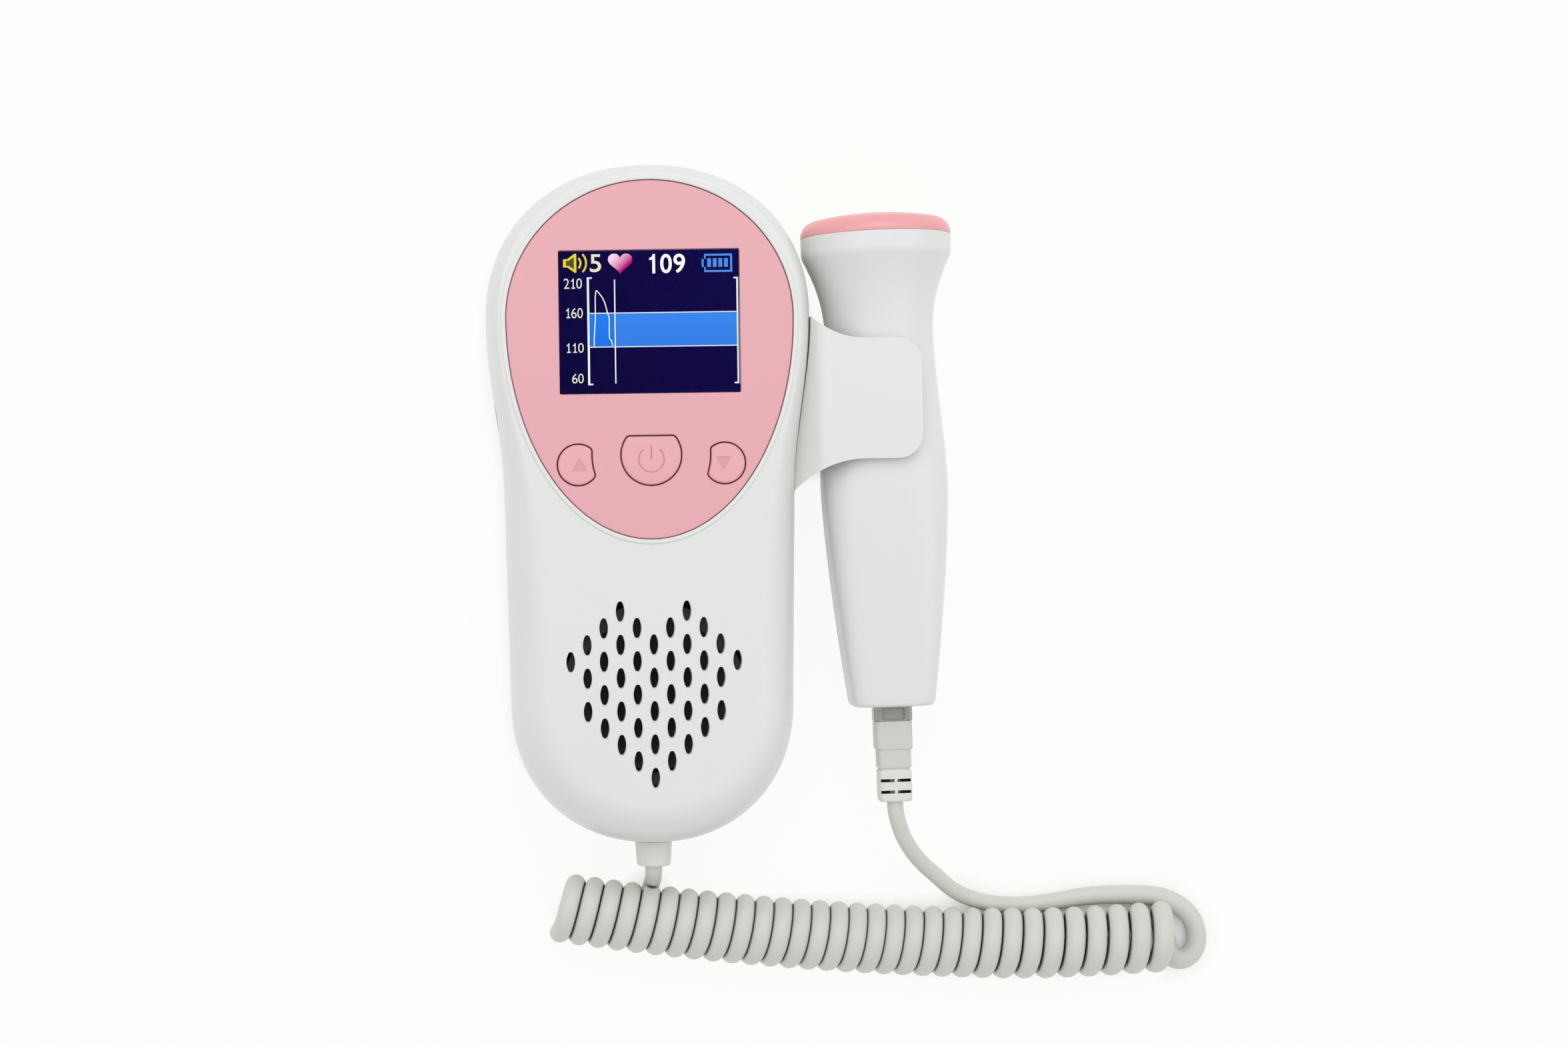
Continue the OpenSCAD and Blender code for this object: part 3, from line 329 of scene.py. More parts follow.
def combine(
    piece: Piece, others: Sequence[Form | Piece], how: Cut = Cut.AWAY, paint: "Finish | None" = None
) -> None:
    """Cuts or joins closed forms with a piece, exactly.

    Args:
        piece: The piece that is changed.
        others: Closed forms or meshes, each free of overlaps in itself; they are used up.
        how: What is done with them.
        paint: Finish of the faces that they leave, if it isn't the piece's own.
    """
    tools = [other.solid("tool") if isinstance(other, Form) else other for other in others]
    for tool in tools:
        step = piece.modifiers.new("cut", "BOOLEAN")
        step.operation, step.solver, step.object = how.value, "EXACT", tool
        if paint:
            tool.data.materials.append(paint.material())
            step.material_mode = "TRANSFER"
    settle(piece)
    for tool in tools:
        bpy.data.meshes.remove(tool.data)


def soften(piece: Piece, width: float, segments: int = 3, angle: float = 32) -> None:
    """Rounds a piece's sharp edges.

    Args:
        piece: The piece.
        width: Width of the rounding in millimetres.
        segments: Faces across the rounding.
        angle: Least angle of an edge that is rounded, in degrees.
    """
    with edited(piece) as made:
        bmesh.ops.remove_doubles(made, verts=made.verts, dist=2e-6)
        bmesh.ops.dissolve_limit(made, angle_limit=math.radians(1), verts=made.verts, edges=made.edges)
    step = piece.modifiers.new("rounding", "BEVEL")
    step.width, step.segments, step.limit_method = width * MM, segments, "ANGLE"
    step.angle_limit, step.miter_outer = math.radians(angle), "MITER_ARC"
    settle(piece)


def place(
    piece: Piece,
    body: Body | None,
    slot: str,
    finishes: Sequence["Finish"],
    stands_for: Sequence[str] = (),
    sharp: float = 34,
) -> Piece:
    """Gives a finished mesh its edges, materials and body, and reports it.

    Args:
        piece: The mesh object.
        body: The body that it rides on, or None for a cord, which is then left on no body.
        slot: Name of a material slot; not used.
        finishes: Its finishes, in the order of its faces' numbers.
        stands_for: The CAD nodes that it replaces.
        sharp: Least angle of an edge that stays crisp, in degrees.

    Returns:
        The same object.
    """
    for number, finish in enumerate(finishes):
        if number < len(piece.data.materials):
            piece.data.materials[number] = finish.material()
        else:
            piece.data.materials.append(finish.material())
    piece.data.set_sharp_from_angle(angle=math.radians(sharp))
    weighting = piece.modifiers.new("weighting", "WEIGHTED_NORMAL")
    weighting.keep_sharp = True
    settle(piece)
    if body:
        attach(piece, body.value)
    if stands_for:
        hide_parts(*stands_for)
    LOG.info("%s: %d faces on %s", piece.name, len(piece.data.polygons), body.value if body else "two bodies")
    return piece


# ---- Finishes -----------------------------------------------------------------------------------


def linear(colour: str) -> tuple[float, float, float, float]:
    """Turns an sRGB hex colour to linear light with full alpha."""
    parts = [int(colour[i : i + 2], 16) / 255 for i in (1, 3, 5)]
    r, g, b = (c / 12.92 if c <= 0.04045 else ((c + 0.055) / 1.055) ** 2.4 for c in parts)
    return (r, g, b, 1.0)


def add_node(
    tree: Tree,
    kind: str,
    settings: dict[str, Any] | None = None,
    inputs: dict[str | int, Any] | None = None,
) -> bpy.types.Node:
    """Adds a node with its settings, values and links.

    Args:
        tree: The tree that it goes into.
        kind: Type of the node.
        settings: Its own properties.
        inputs: A value or another node's output for each input, by name or number.

    Returns:
        The new node.
    """
    made = tree.nodes.new(kind)
    for name, value in (settings or {}).items():
        setattr(made, name, value)
    for key, value in (inputs or {}).items():
        if isinstance(value, Socket):
            tree.links.new(value, made.inputs[key])
        else:
            made.inputs[key].default_value = value
    return made


@dataclass(frozen=True)
class Finish(ABC):
    """What a surface is made of and how it was made."""

    name: str

    def material(self) -> bpy.types.Material:
        """Makes the material the first time and gives the same one after that."""
        made = bpy.data.materials.get(self.name)
        if made is None:
            made = bpy.data.materials.new(self.name)
            made.use_nodes = True
            tree = made.node_tree
            tree.nodes.clear()
            spot = add_node(tree, "ShaderNodeTexCoord").outputs["Object"]
            add_node(tree, "ShaderNodeOutputMaterial", inputs={"Surface": self.shader(tree, spot)})
        return made

    @abstractmethod
    def shader(self, tree: Tree, spot: Socket) -> Socket:
        """Builds the finish's nodes.

        Args:
            tree: The material's tree.
            spot: Object coordinates, in metres.

        Returns:
            The shader's output.
        """


def maths(tree: Tree, operation: str, *values: Any, clamp: bool = False) -> Socket:
    """Output of a math node on numbers or outputs, in order."""
    settings = {"operation": operation, "use_clamp": clamp}
    return add_node(tree, "ShaderNodeMath", settings, dict(enumerate(values))).outputs[0]


def noise(tree: Tree, spot: Socket, size: float, detail: float) -> Socket:
    """Strength of noise whose clouds have a size in millimetres."""
    inputs = {"Vector": spot, "Scale": 1 / (size * MM), "Detail": detail}
    return add_node(tree, "ShaderNodeTexNoise", inputs=inputs).outputs["Fac"]


def ranged(tree: Tree, value: Socket, low: float, high: float, first: float = 0.0, last: float = 1.0) -> Socket:
    """Number that runs from low to high while a value runs from first to last."""
    inputs = {"Value": value, "From Min": first, "From Max": last, "To Min": low, "To Max": high}
    return add_node(tree, "ShaderNodeMapRange", inputs=inputs).outputs["Result"]


def tinted(tree: Tree, share: Socket, low: Any, high: Any) -> Socket:
    """Colour a share of the way from low to high."""
    return add_node(tree, "ShaderNodeMix", {"data_type": "RGBA"}, {0: share, 6: low, 7: high}).outputs[2]


def relief(tree: Tree, height: Socket, depth: float, strength: float) -> Socket:
    """Normal of a relief with a depth in millimetres."""
    inputs = {"Strength": strength, "Distance": depth * MM, "Height": height}
    return add_node(tree, "ShaderNodeBump", inputs=inputs).outputs["Normal"]


def clouded(tree: Tree, spot: Socket, colour: str, drift: float, size: float) -> Socket:
    """Colour that drifts a little over the surface.

    Args:
        tree: The material's tree.
        spot: Object coordinates.
        colour: The middle colour, in sRGB hex.
        drift: Share by which it drifts each way.
        size: Width of a cloud in millimetres.

    Returns:
        The colour's output.
    """
    base = linear(colour)
    low, high = ([min(c * (1 + s * drift), 1) for c in base[:3]] + [1] for s in (-1, 1))
    return tinted(tree, noise(tree, spot, size, 3.0), low, high)


def grained(tree: Tree, spot: Socket, size: float, depth: float) -> Socket:
    """Normal of a fine grain, its width and depth in millimetres."""
    return relief(tree, noise(tree, spot, size, 2.0), depth, 0.6)


def coated(tree: Tree, colour: Any, roughness: Any, others: dict[str, Any]) -> Socket:
    """Output of a principled shader, its other inputs by their names."""
    inputs = {"Base Color": colour, "Roughness": roughness, **others}
    return add_node(tree, "ShaderNodeBsdfPrincipled", inputs=inputs).outputs["BSDF"]


@dataclass(frozen=True)
class MouldedPlastic(Finish):
    """Injection-moulded plastic: an even colour, with the tool's spark-eroded grain in its gloss."""

    colour: str
    roughness: float = 0.34
    grain: float = 0.45
    depth: float = 0.012
    drift: float = 0.012
    ior: float = 1.53
    soft: float = 0.0
    wear: float = 0.05
    wear_size: float = 7.0
    cloud_size: float = 26.0

    def shader(self, tree: Tree, spot: Socket) -> Socket:
        """Builds the plastic's nodes from its fields."""
        rub = noise(tree, spot, self.wear_size, 4.0)
        sheen = ranged(tree, rub, self.roughness - self.wear, self.roughness + self.wear)
        others = {"IOR": self.ior, "Normal": grained(tree, spot, self.grain, self.depth)}
        if self.soft:
            others |= {
                "Subsurface Weight": self.soft,
                "Subsurface Radius": (1.0, 0.7, 0.55),
                "Subsurface Scale": 1.2 * MM,
            }
        return coated(tree, clouded(tree, spot, self.colour, self.drift, self.cloud_size), sheen, others)


@dataclass(frozen=True)
class ExtrudedCord(Finish):
    """Soft polyurethane drawn over a cable: satin, with painted shade darkening it where two curls touch."""

    colour: str
    roughness: float = 0.42
    # Dark grey of the painted shade in the creases between curls.
    crease_shade: str = "#55564e"
    reach: float = 1.0

    def shader(self, tree: Tree, spot: Socket) -> Socket:
        """Builds the cord's nodes from its fields."""
        near = {"Distance": self.reach * MM}
        # Painted shade: a short-range occlusion mask pulls the colour towards the dark grey where curls touch.
        open_ = add_node(tree, "ShaderNodeAmbientOcclusion", {"samples": 8, "only_local": True}, near)
        unshaded = ranged(tree, open_.outputs["AO"], 0.0, 1.0, 0.25, 0.72)
        shade = tinted(tree, unshaded, linear(self.crease_shade), clouded(tree, spot, self.colour, 0.02, 9))
        return coated(tree, shade, self.roughness, {"IOR": 1.5, "Normal": grained(tree, spot, 0.5, 0.02)})


@dataclass(frozen=True)
class PlatedSteel(Finish):
    """Nickel-plated sheet steel, drawn and rolled: a grey metal with fine scratches along one direction."""

    colour: str = "#a6a59f"
    roughness: float = 0.3
    along: tuple[float, float, float] = (1.0, 0.06, 1.0)
    scratch_w: float = 0.12
    scratch_d: float = 0.004

    def shader(self, tree: Tree, spot: Socket) -> Socket:
        """Builds the metal's nodes from its fields."""
        drawn = add_node(tree, "ShaderNodeMapping", inputs={"Vector": spot, "Scale": self.along}).outputs["Vector"]
        lines = noise(tree, drawn, self.scratch_w, 3.0)
        dull = ranged(tree, lines, self.roughness - 0.08, self.roughness + 0.1)
        others = {"Metallic": 1.0, "Normal": relief(tree, lines, self.scratch_d, 0.3)}
        return coated(tree, clouded(tree, spot, self.colour, 0.04, 3), dull, others)


@dataclass(frozen=True)
class ClearWindow(Finish):
    """Cast acrylic with a coating against reflections, so its index is far under the bare sheet's 1.49."""

    ior: float = 1.1

    def shader(self, tree: Tree, spot: Socket) -> Socket:
        """Builds the window's nodes."""
        others = {"Transmission Weight": 1.0, "IOR": self.ior}
        return coated(tree, clouded(tree, spot, "#fbfcff", 0.003, 12), 0.0, others)


@dataclass(frozen=True)
class LitPixels(Finish):
    """Lit liquid crystal: colour from behind, in rows of pixels."""

    colour: str
    other: str = ""
    start: tuple[float, float] = (0.0, 0.0)
    end: tuple[float, float] = (0.0, 1.0)
    pixel: float = 0.22

    def shader(self, tree: Tree, spot: Socket) -> Socket:
        """Builds the pixels' nodes: the first colour runs to the other from start to end, in millimetres."""
        rows = {"Vector": spot, "Scale": math.pi / 10 / (self.pixel * MM), "Distortion": 0.0}
        wave = add_node(tree, "ShaderNodeTexWave", {"bands_direction": "Y"}, rows).outputs["Fac"]
        split = add_node(tree, "ShaderNodeSeparateXYZ", inputs={"Vector": spot}).outputs
        way = Vector(self.end) - Vector(self.start)
        rate, offset = way / way.length_squared / MM, Vector(self.start).dot(way) / way.length_squared
        across = maths(tree, "MULTIPLY", split["X"], rate.x)
        along = maths(tree, "MULTIPLY_ADD", split["Y"], rate.y, across)
        share = maths(tree, "SUBTRACT", along, offset, clamp=True)
        others = {
            "Specular IOR Level": 0.0,
            "Emission Color": tinted(tree, share, linear(self.colour), linear(self.other or self.colour)),
            "Emission Strength": ranged(tree, wave, 0.97, 1.02),
        }
        return coated(tree, (0.0, 0.0, 0.0, 1.0), 0.6, others)


@dataclass(frozen=True)
class CircuitBoard(Finish):
    """Glass-filled epoxy under green solder mask, with its traces as lighter lines."""

    mask: str = "#1f5a38"
    trace: str = "#3b8657"
    grid: float = 2.54

    def shader(self, tree: Tree, spot: Socket) -> Socket:
        """Builds the board's nodes."""
        net = {"distance": "MANHATTAN", "feature": "F2"}
        cells = add_node(tree, "ShaderNodeTexVoronoi", net, {"Vector": spot, "Scale": 1 / (self.grid * MM)})
        line = maths(tree, "GREATER_THAN", cells.outputs["Distance"], 0.82)
        colour = tinted(tree, line, linear(self.mask), linear(self.trace))
        return coated(tree, colour, 0.3, {"IOR": 1.55, "Normal": grained(tree, spot, 0.3, 0.01)})


# Satin ABS, injection moulded: white that leans a little to green, with soft wide highlights.
SHELL_ABS = MouldedPlastic("abs_moulded_white", "#e5e6e2")
# The same ABS from the probe's own tool, a little glossier.
PROBE_ABS = MouldedPlastic("abs_moulded_probe", "#e4e5e2", roughness=0.3)
# Polycarbonate with its pink moulded in: flat and nearly matt.
PANEL_PC = MouldedPlastic("polycarbonate_moulded_pink", "#e8aab0", roughness=0.46, grain=0.35, depth=0.008)
# Silicone rubber keys in the panel's pink, with a softer gloss than the panel.
KEY_RUBBER = MouldedPlastic("silicone_rubber_pink", "#ebaeb3", roughness=0.5, grain=0.4, depth=0.008, ior=1.42)
# Pad-printed symbol in the bottom of its engraving.
KEY_PRINT = MouldedPlastic("printed_ink_rose", "#d0909a", roughness=0.6, grain=0.3, depth=0.004)
# Thinner coat of the same ink on the arrows, so they hardly show.
ARROW_PRINT = MouldedPlastic("printed_ink_pale", "#e0a1a7", roughness=0.6, grain=0.3, depth=0.004)
# Soft thermoplastic over the crystal: coral pink, smooth and a little translucent.
CAP_TPU = MouldedPlastic("polyurethane_moulded_coral", "#f1a7a9", roughness=0.3, grain=0.6, depth=0.006, soft=0.15)
# Flexible PVC of the gland, overmould and boot: grey-green and satin.
MOULD_PVC = MouldedPlastic("pvc_moulded_grey", "#e0e1d9", roughness=0.42, grain=0.5, depth=0.015)
# The same PVC on the plug's grip, a shade darker.
GRIP_PVC = MouldedPlastic("pvc_moulded_grip", "#d0d1c9", roughness=0.42, grain=0.5, depth=0.015)
# Near-black paint on the floors of the boot's slits: painted shade of the deep gap round the cable.
SLIT_SHADE_PAINT = MouldedPlastic("pvc_extruded_black", "#23231f", roughness=0.6, grain=0.5, depth=0.01)
# Polyurethane cord jacket, extruded and heat set on a rod, with painted shade in its creases.
CORD_TPU = ExtrudedCord("polyurethane_extruded_grey", "#d4d7cd")
# Nickel-plated steel of the plug, drawn from sheet.
PLUG_STEEL = PlatedSteel("steel_nickel_plated", "#aaa9a0")
# Zinc-plated steel of the screws, springs and contacts.
SCREW_STEEL = PlatedSteel("steel_zinc_plated", "#b4b5b3", roughness=0.26)
# Painted steel of the speaker's basket and magnet cup.
BASKET_STEEL = PlatedSteel("steel_painted_black", "#2f3030", roughness=0.5)
# Black PBT of connectors, switches and chips, moulded with a dull skin.
BLACK_PBT = MouldedPlastic("pbt_moulded_black", "#1c1d1f", roughness=0.5)
# Grey PBT of the plug's insulator.
GREY_PBT = MouldedPlastic("pbt_moulded_grey", "#a9a9a1", roughness=0.42)
# Black die-cut foam of the gasket: matt and pitted.
GASKET_FOAM = MouldedPlastic("foam_die_cut_black", "#3c3c3b", roughness=0.9, grain=0.5, depth=0.12, drift=0.1)
# Pressed paper pulp of the cone: matt black with fibres.
CONE_PAPER = MouldedPlastic("paper_pressed_black", "#4a4a48", roughness=0.85, grain=0.6, depth=0.05, drift=0.15)
# Screen bezel: black glass over the dark border.
SCREEN_BLACK = MouldedPlastic("glass_black_border", "#0a0a12", roughness=0.2, depth=0.0, ior=1.5)
# Heat-shrunk sleeve of the cells, blue and glossy, and their bare nickel ends.
CELL_SLEEVE = MouldedPlastic("pvc_shrunk_blue", "#3d6ea8", roughness=0.22, grain=1.2, depth=0.01)
# Sintered ceramic of the crystals under a fired silver face.
CRYSTAL = MouldedPlastic("ceramic_sintered_silvered", "#c9c2a8", roughness=0.55)
# Epoxy loaded with tungsten powder, cast behind the crystals.
BACKING = MouldedPlastic("epoxy_cast_grey", "#5a5650", roughness=0.7, drift=0.06)
# Silicone-covered leads, extruded in red, with painted shade where they touch.
LEAD_RED = ExtrudedCord("silicone_extruded_red", "#b5483a")
WINDOW = ClearWindow("acrylic_cast_clear")
BOARD = CircuitBoard("epoxy_glass_green")


# ---- Geometry Nodes -----------------------------------------------------------------------------


def made_by_tree(name: str, source: bpy.types.Mesh, tree: Tree, values: dict[str, Any]) -> Piece:
    """Runs a Geometry Nodes tree once and keeps its plain mesh.

    Args:
        name: Name of the piece.
        source: The mesh that goes into the tree.
        tree: The tree.
        values: The tree's other inputs, by their names.

    Returns:
        A mesh object without modifiers.
    """
    piece = bpy.data.objects.new(name, source)
    bpy.context.scene.collection.objects.link(piece)
    step = piece.modifiers.new("tree", "NODES")
    step.node_group = tree
    for item in tree.interface.items_tree:
        if item.in_out == "INPUT" and item.name in values:
            step[item.identifier] = values[item.name]
    return settle(piece)


def new_tree(name: str, takes: dict[str, str]) -> tuple[Tree, Any]:
    """Starts a Geometry Nodes tree.

    Args:
        name: The tree's name.
        takes: Socket type of each input, by its name.

    Returns:
        The tree and its inputs' outputs.
    """
    tree = bpy.data.node_groups.new(name, "GeometryNodeTree")
    for label, kind in takes.items():
        tree.interface.new_socket(label, in_out="INPUT", socket_type=f"NodeSocket{kind}")
    tree.interface.new_socket("Geometry", in_out="OUTPUT", socket_type="NodeSocketGeometry")
    return tree, add_node(tree, "NodeGroupInput").outputs


def end_tree(tree: Tree, shape: Socket, finish: Socket) -> None:
    """Ends a tree with real geometry in one material."""
    real = add_node(tree, "GeometryNodeRealizeInstances", inputs={"Geometry": shape}).outputs["Geometry"]
    dressed = add_node(tree, "GeometryNodeSetMaterial", inputs={"Geometry": real, "Material": finish})
    add_node(tree, "NodeGroupOutput", inputs={"Geometry": dressed.outputs["Geometry"]})


@cache
def repeat_tree() -> Tree:
    """Tree that sets one shape on every point of a lattice, at a pitch and from an origin."""
    takes = {"Lattice": "Geometry", "Shape": "Object", "Pitch": "Float", "Origin": "Vector", "Finish": "Material"}
    tree, given = new_tree("repeat_on_lattice", takes)
    cell = add_node(tree, "GeometryNodeInputPosition").outputs["Position"]
    spread = {"Vector": cell, "Scale": given["Pitch"]}
    spread = add_node(tree, "ShaderNodeVectorMath", {"operation": "SCALE"}, spread).outputs[0]
    spot = add_node(tree, "ShaderNodeVectorMath", {"operation": "ADD"}, {0: spread, 1: given["Origin"]}).outputs[0]
    points = add_node(tree, "GeometryNodeSetPosition", inputs={"Geometry": given["Lattice"], "Position": spot})
    shape = add_node(tree, "GeometryNodeObjectInfo", {"transform_space": "ORIGINAL"}, {"Object": given["Shape"]})
    copies = {"Points": points.outputs["Geometry"], "Instance": shape.outputs["Geometry"]}
    copies = add_node(tree, "GeometryNodeInstanceOnPoints", inputs=copies).outputs["Instances"]
    end_tree(tree, copies, given["Finish"])
    return tree


@cache
def sweep_tree() -> Tree:
    """Tree that draws a round tube along a path, its radius scaled by the path's girth."""
    takes = {"Path": "Geometry", "Radius": "Float", "Sides": "Int", "Finish": "Material"}
    tree, given = new_tree("tube_along_path", takes)
    line = add_node(tree, "GeometryNodeMeshToCurve", inputs={"Mesh": given["Path"]}).outputs["Curve"]
    girth = add_node(tree, "GeometryNodeInputNamedAttribute", {"data_type": "FLOAT"}, {"Name": "girth"})
    round_ = {"Resolution": given["Sides"], "Radius": given["Radius"]}
    section = add_node(tree, "GeometryNodeCurvePrimitiveCircle", {"mode": "RADIUS"}, round_).outputs["Curve"]
    drawn = {"Curve": line, "Profile Curve": section, "Scale": girth.outputs["Attribute"], "Fill Caps": True}
    tube = add_node(tree, "GeometryNodeCurveToMesh", inputs=drawn).outputs["Mesh"]
    smoothed = add_node(tree, "GeometryNodeSetShadeSmooth", inputs={"Geometry": tube}).outputs["Geometry"]
    end_tree(tree, smoothed, given["Finish"])
    return tree


def repeated(name: str, shape: Piece, cells: Iterable[Place], pitch: float, origin: Place, finish: Finish) -> Piece:
    """Sets one shape on many points through the repeat tree.

    Args:
        name: Name of the piece.
        shape: The shape, about its own origin; it is used up.
        cells: Points in units of the pitch.
        pitch: The pitch in millimetres.
        origin: Where the lattice's zero is, in millimetres.
        finish: What it is made of.

    Returns:
        One mesh with every copy.
    """
    lattice = bpy.data.meshes.new(name)
    lattice.from_pydata([tuple(c) for c in cells], [], [])
    origin = tuple(x * MM for x in origin)
    values = {"Shape": shape, "Pitch": pitch * MM, "Origin": origin, "Finish": finish.material()}
    piece = made_by_tree(name, lattice, repeat_tree(), values)
    bpy.data.objects.remove(shape)
    return piece


def swept(
    name: str, paths: Sequence[Sequence[Vector]], girths: Sequence[Sequence[float]], sides: int, finish: Finish
) -> Piece:
    """Draws round tubes along paths through the sweep tree.

    Args:
        name: Name of the piece.
        paths: Points of each path, in millimetres.
        girths: Radius of the tube at each point, in millimetres.
        sides: Faces round the tube.
        finish: What it is made of.

    Returns:
        One mesh with every tube.
    """
    points, edges = [], []
    for path in paths:
        edges += pairwise(range(len(points), len(points) + len(path)))
        points += [tuple(p * MM) for p in path]
    mesh = bpy.data.meshes.new(name)
    mesh.from_pydata(points, edges, [])
    girth = mesh.attributes.new("girth", "FLOAT", "POINT")
    girth.data.foreach_set("value", [g for each in girths for g in each])
    return made_by_tree(name, mesh, sweep_tree(), {"Radius": MM, "Sides": sides, "Finish": finish.material()})


# ---- Body outline -------------------------------------------------------------------------------


@dataclass(frozen=True)
class BodyOutline:
    """Plan of the monitor's body: two superellipse ends joined by a waisted side."""

    length: float = 135.2
    top_half_w: float = 32.3
    waist_half_w: float = 29.0
    low_half_w: float = 28.2
    top_semi: float = 30.8
    top_power: float = 2.17
    low_semi: float = 28.3
    low_power: float = 2.15
    waist_y: float = 2.0
    end_steps: int = 40
    side_steps: int = 38

    @property
    def top_y(self) -> float:
        """Height in the plan where the upper end starts."""
        return self.length / 2 - self.top_semi

    @property
    def low_y(self) -> float:
        """Height in the plan where the lower end starts."""
        return self.low_semi - self.length / 2

    def side_half_w(self, y: float) -> float:
        """Half-width of the side between the two ends."""
        if y < self.waist_y:
            return mix(self.low_half_w, self.waist_half_w, (y - self.low_y) / (self.waist_y - self.low_y))
        return mix(self.waist_half_w, self.top_half_w, float(smooth((y - self.waist_y) / (self.top_y - self.waist_y))))

    def end(self, half_w: float, y: float, semi: float, power: float) -> np.ndarray:
        """Quarter of a superellipse, from its tip to the side."""
        quarter = np.radians(np.linspace(90, 0, self.end_steps + 1))
        cos, sin = np.abs(np.cos(quarter)), np.sin(quarter)
        return np.stack([half_w * cos ** (2 / power), y + semi * sin ** (2 / power)], 1)

    @cached_property
    def edge(self) -> np.ndarray:
        """Closed outline, clockwise from the top."""
        heights = np.linspace(self.top_y, self.low_y, self.side_steps + 1)[1:-1]
        top = self.end(self.top_half_w, self.top_y, self.top_semi, self.top_power)
        side = np.array([(self.side_half_w(y), y) for y in heights])
        low = self.end(self.low_half_w, self.low_y, -self.low_semi, self.low_power)[::-1]
        half = np.concatenate([top, side, low])
        half[0, 0] = half[-1, 0] = 0
        return np.concatenate([half, half[-2:0:-1] * (-1, 1)])

    @cached_property
    def inward(self) -> np.ndarray:
        """Inward normal at each point of the outline."""
        run = np.roll(self.edge, -1, 0) - np.roll(self.edge, 1, 0)
        normal = np.stack([run[:, 1], -run[:, 0]], 1)
        return normal / np.linalg.norm(normal, axis=1)[:, None]

    def ring(self, inset: float, z: float, rounding: np.ndarray | float = 0.0, part: float = 0.0) -> list:
        """Outline moved inwards, at a height.

        Args:
            inset: Distance inwards.
            z: The height.
            rounding: Width of the rounded edge at each point.
            part: Share of the rounded edge's width that is added to the inset.

        Returns:
            The ring's points.
        """
        width = np.broadcast_to(inset + part * rounding, len(self.edge))[:, None]
        return lifted(self.edge + self.inward * width, z)

    def over(self, inset: float, start: float, end: float, rounding: np.ndarray | float, step: int = 5) -> list:
        """Rings over the rounded edge, from just past the side's end to the flat.

        Args:
            inset: Distance inwards.
            start: Height where the side ends.
            end: Height of the flat.
            rounding: Width of the rounded edge at each point.
            step: Degrees between rings.

        Returns:
            The rings, in order.
        """
        turns = np.radians(np.arange(step, 91, step))
        return [self.ring(inset, mix(start, end, math.sin(a)), rounding, 1 - math.cos(a)) for a in turns]


# ---- Cords --------------------------------------------------------------------------------------


@dataclass(frozen=True)
class Coil:
    """Row of curls, as the CAD's source lays it: left-handed, bowed in plan and lying on the table."""

    radius: float = 5.1
    middle_z: float = 6.95
    pitch: float = 3.86
    curls: int = 31
    left_x: float = -19.4
    low_y: float = -90.8
    bow: float = 0.00386
    bow_x: float = 78.0
    lift: float = 3.8
    open_from: float = 17.0
    open_rate: float = 0.027
    first_turn: float = 0.25

    def middle(self, u: float) -> Vector:
        """Middle of the row after u curls."""
        x = self.left_x + self.pitch * u + self.open_rate * max(0.0, u - self.open_from) ** 2
        y = self.low_y + self.bow * abs(x - self.bow_x) ** 1.7
        return Vector((x, y, self.middle_z + self.lift * float(smooth((65 - x) / 80))))

    def at(self, u: float) -> Vector:
        """Point of the cord's middle line after u curls."""
        along = (self.middle(u + 0.05) - self.middle(u - 0.05)).normalized()
        side = Vector((-along.y, along.x, 0)).normalized()
        turn = math.radians(-90 - 360 * u)
        return self.middle(u) + self.radius * (side * math.cos(turn) + along.cross(side) * math.sin(turn))

    def way(self, u: float) -> Vector:
        """Direction of the cord after u curls."""
        return (self.at(u + 0.01) - self.at(u - 0.01)).normalized()

    def turns(self, steps: int) -> list[Vector]:
        """Every point of the coil, with a number of steps in each curl."""
        first, last = round(steps * self.first_turn), steps * self.curls
        return [self.at(k / steps) for k in range(first, last + 1)]


def eased(points: Sequence[Vector], step: float) -> list[Vector]:
    """Smooth path through points, sampled about a step apart.

    Args:
        points: The points that it passes.
        step: Distance between samples, in millimetres.

    Returns:
        The samples, both ends included.
    """
    out: list[Vector] = []
    padded = [2 * points[0] - points[1], *points, 2 * points[-1] - points[-2]]
    for a, b, c, d in zip(padded, padded[1:], padded[2:], padded[3:]):
        count = max(2, round((c - b).length / step))
        for k in range(count):
            t = k / count
            bend, twist = 2 * a - 5 * b + 4 * c - d, 3 * b - a - 3 * c + d
            out.append(0.5 * (2 * b + (c - a) * t + bend * t * t + twist * t**3))
    return [*out, points[-1]]


# Route of the tail from the gland, in X, Y and height.
TAIL_ROUTE = [
    (0, -73.8, 15.2), (0, -75.1, 13.5), (0, -76, 11.4), (0, -76.4, 9.2), (0, -76.9, 7), (-0.1, -78, 4.9),
    (-0.6, -79.6, 3.3), (-2.2, -81.4, 2.2), (-4.5, -83.5, 1.7), (-7.5, -83.8, 1.7), (-11, -83.4, 1.7),
    (-13.5, -83.4, 1.7), (-15.2, -84.2, 2.1), (-16.1, -85.4, 3.1), (-16.6, -86.2, 4.9),
]
# Route of the lead: first from the plug's end, then in X and Y from the last curl.
PLUG_ROUTE = [(0.4, -3.3, -0.4), (2.1, -7.9, -2.4), (5.3, -12.5, -5.4), (9.5, -16.5, -8.4)]
FLOOR_ROUTE = [
    (-43.8, 12.6, 4.9), (-38.6, 10.3, 2.9), (-33, 9.3, 1.9), (-28, 9.3, 1.7), (-23, 9.9, 1.7), (-18, 10.7, 1.7),
    (-13, 11.1, 1.7), (-8, 11.1, 1.7), (-3, 10.8, 1.7), (0.5, 9.9, 1.7), (3.4, 8.1, 1.7), (5.3, 5.7, 1.7),
    (6, 3.3, 1.7), (6, 1.4, 1.7), (5.5, -0.3, 1.7), (4.5, -1.6, 1.7), (3.1, -2.3, 1.7), (1.75, -2.2, 1.7),
    (0.65, -1.4, 1.7),
]


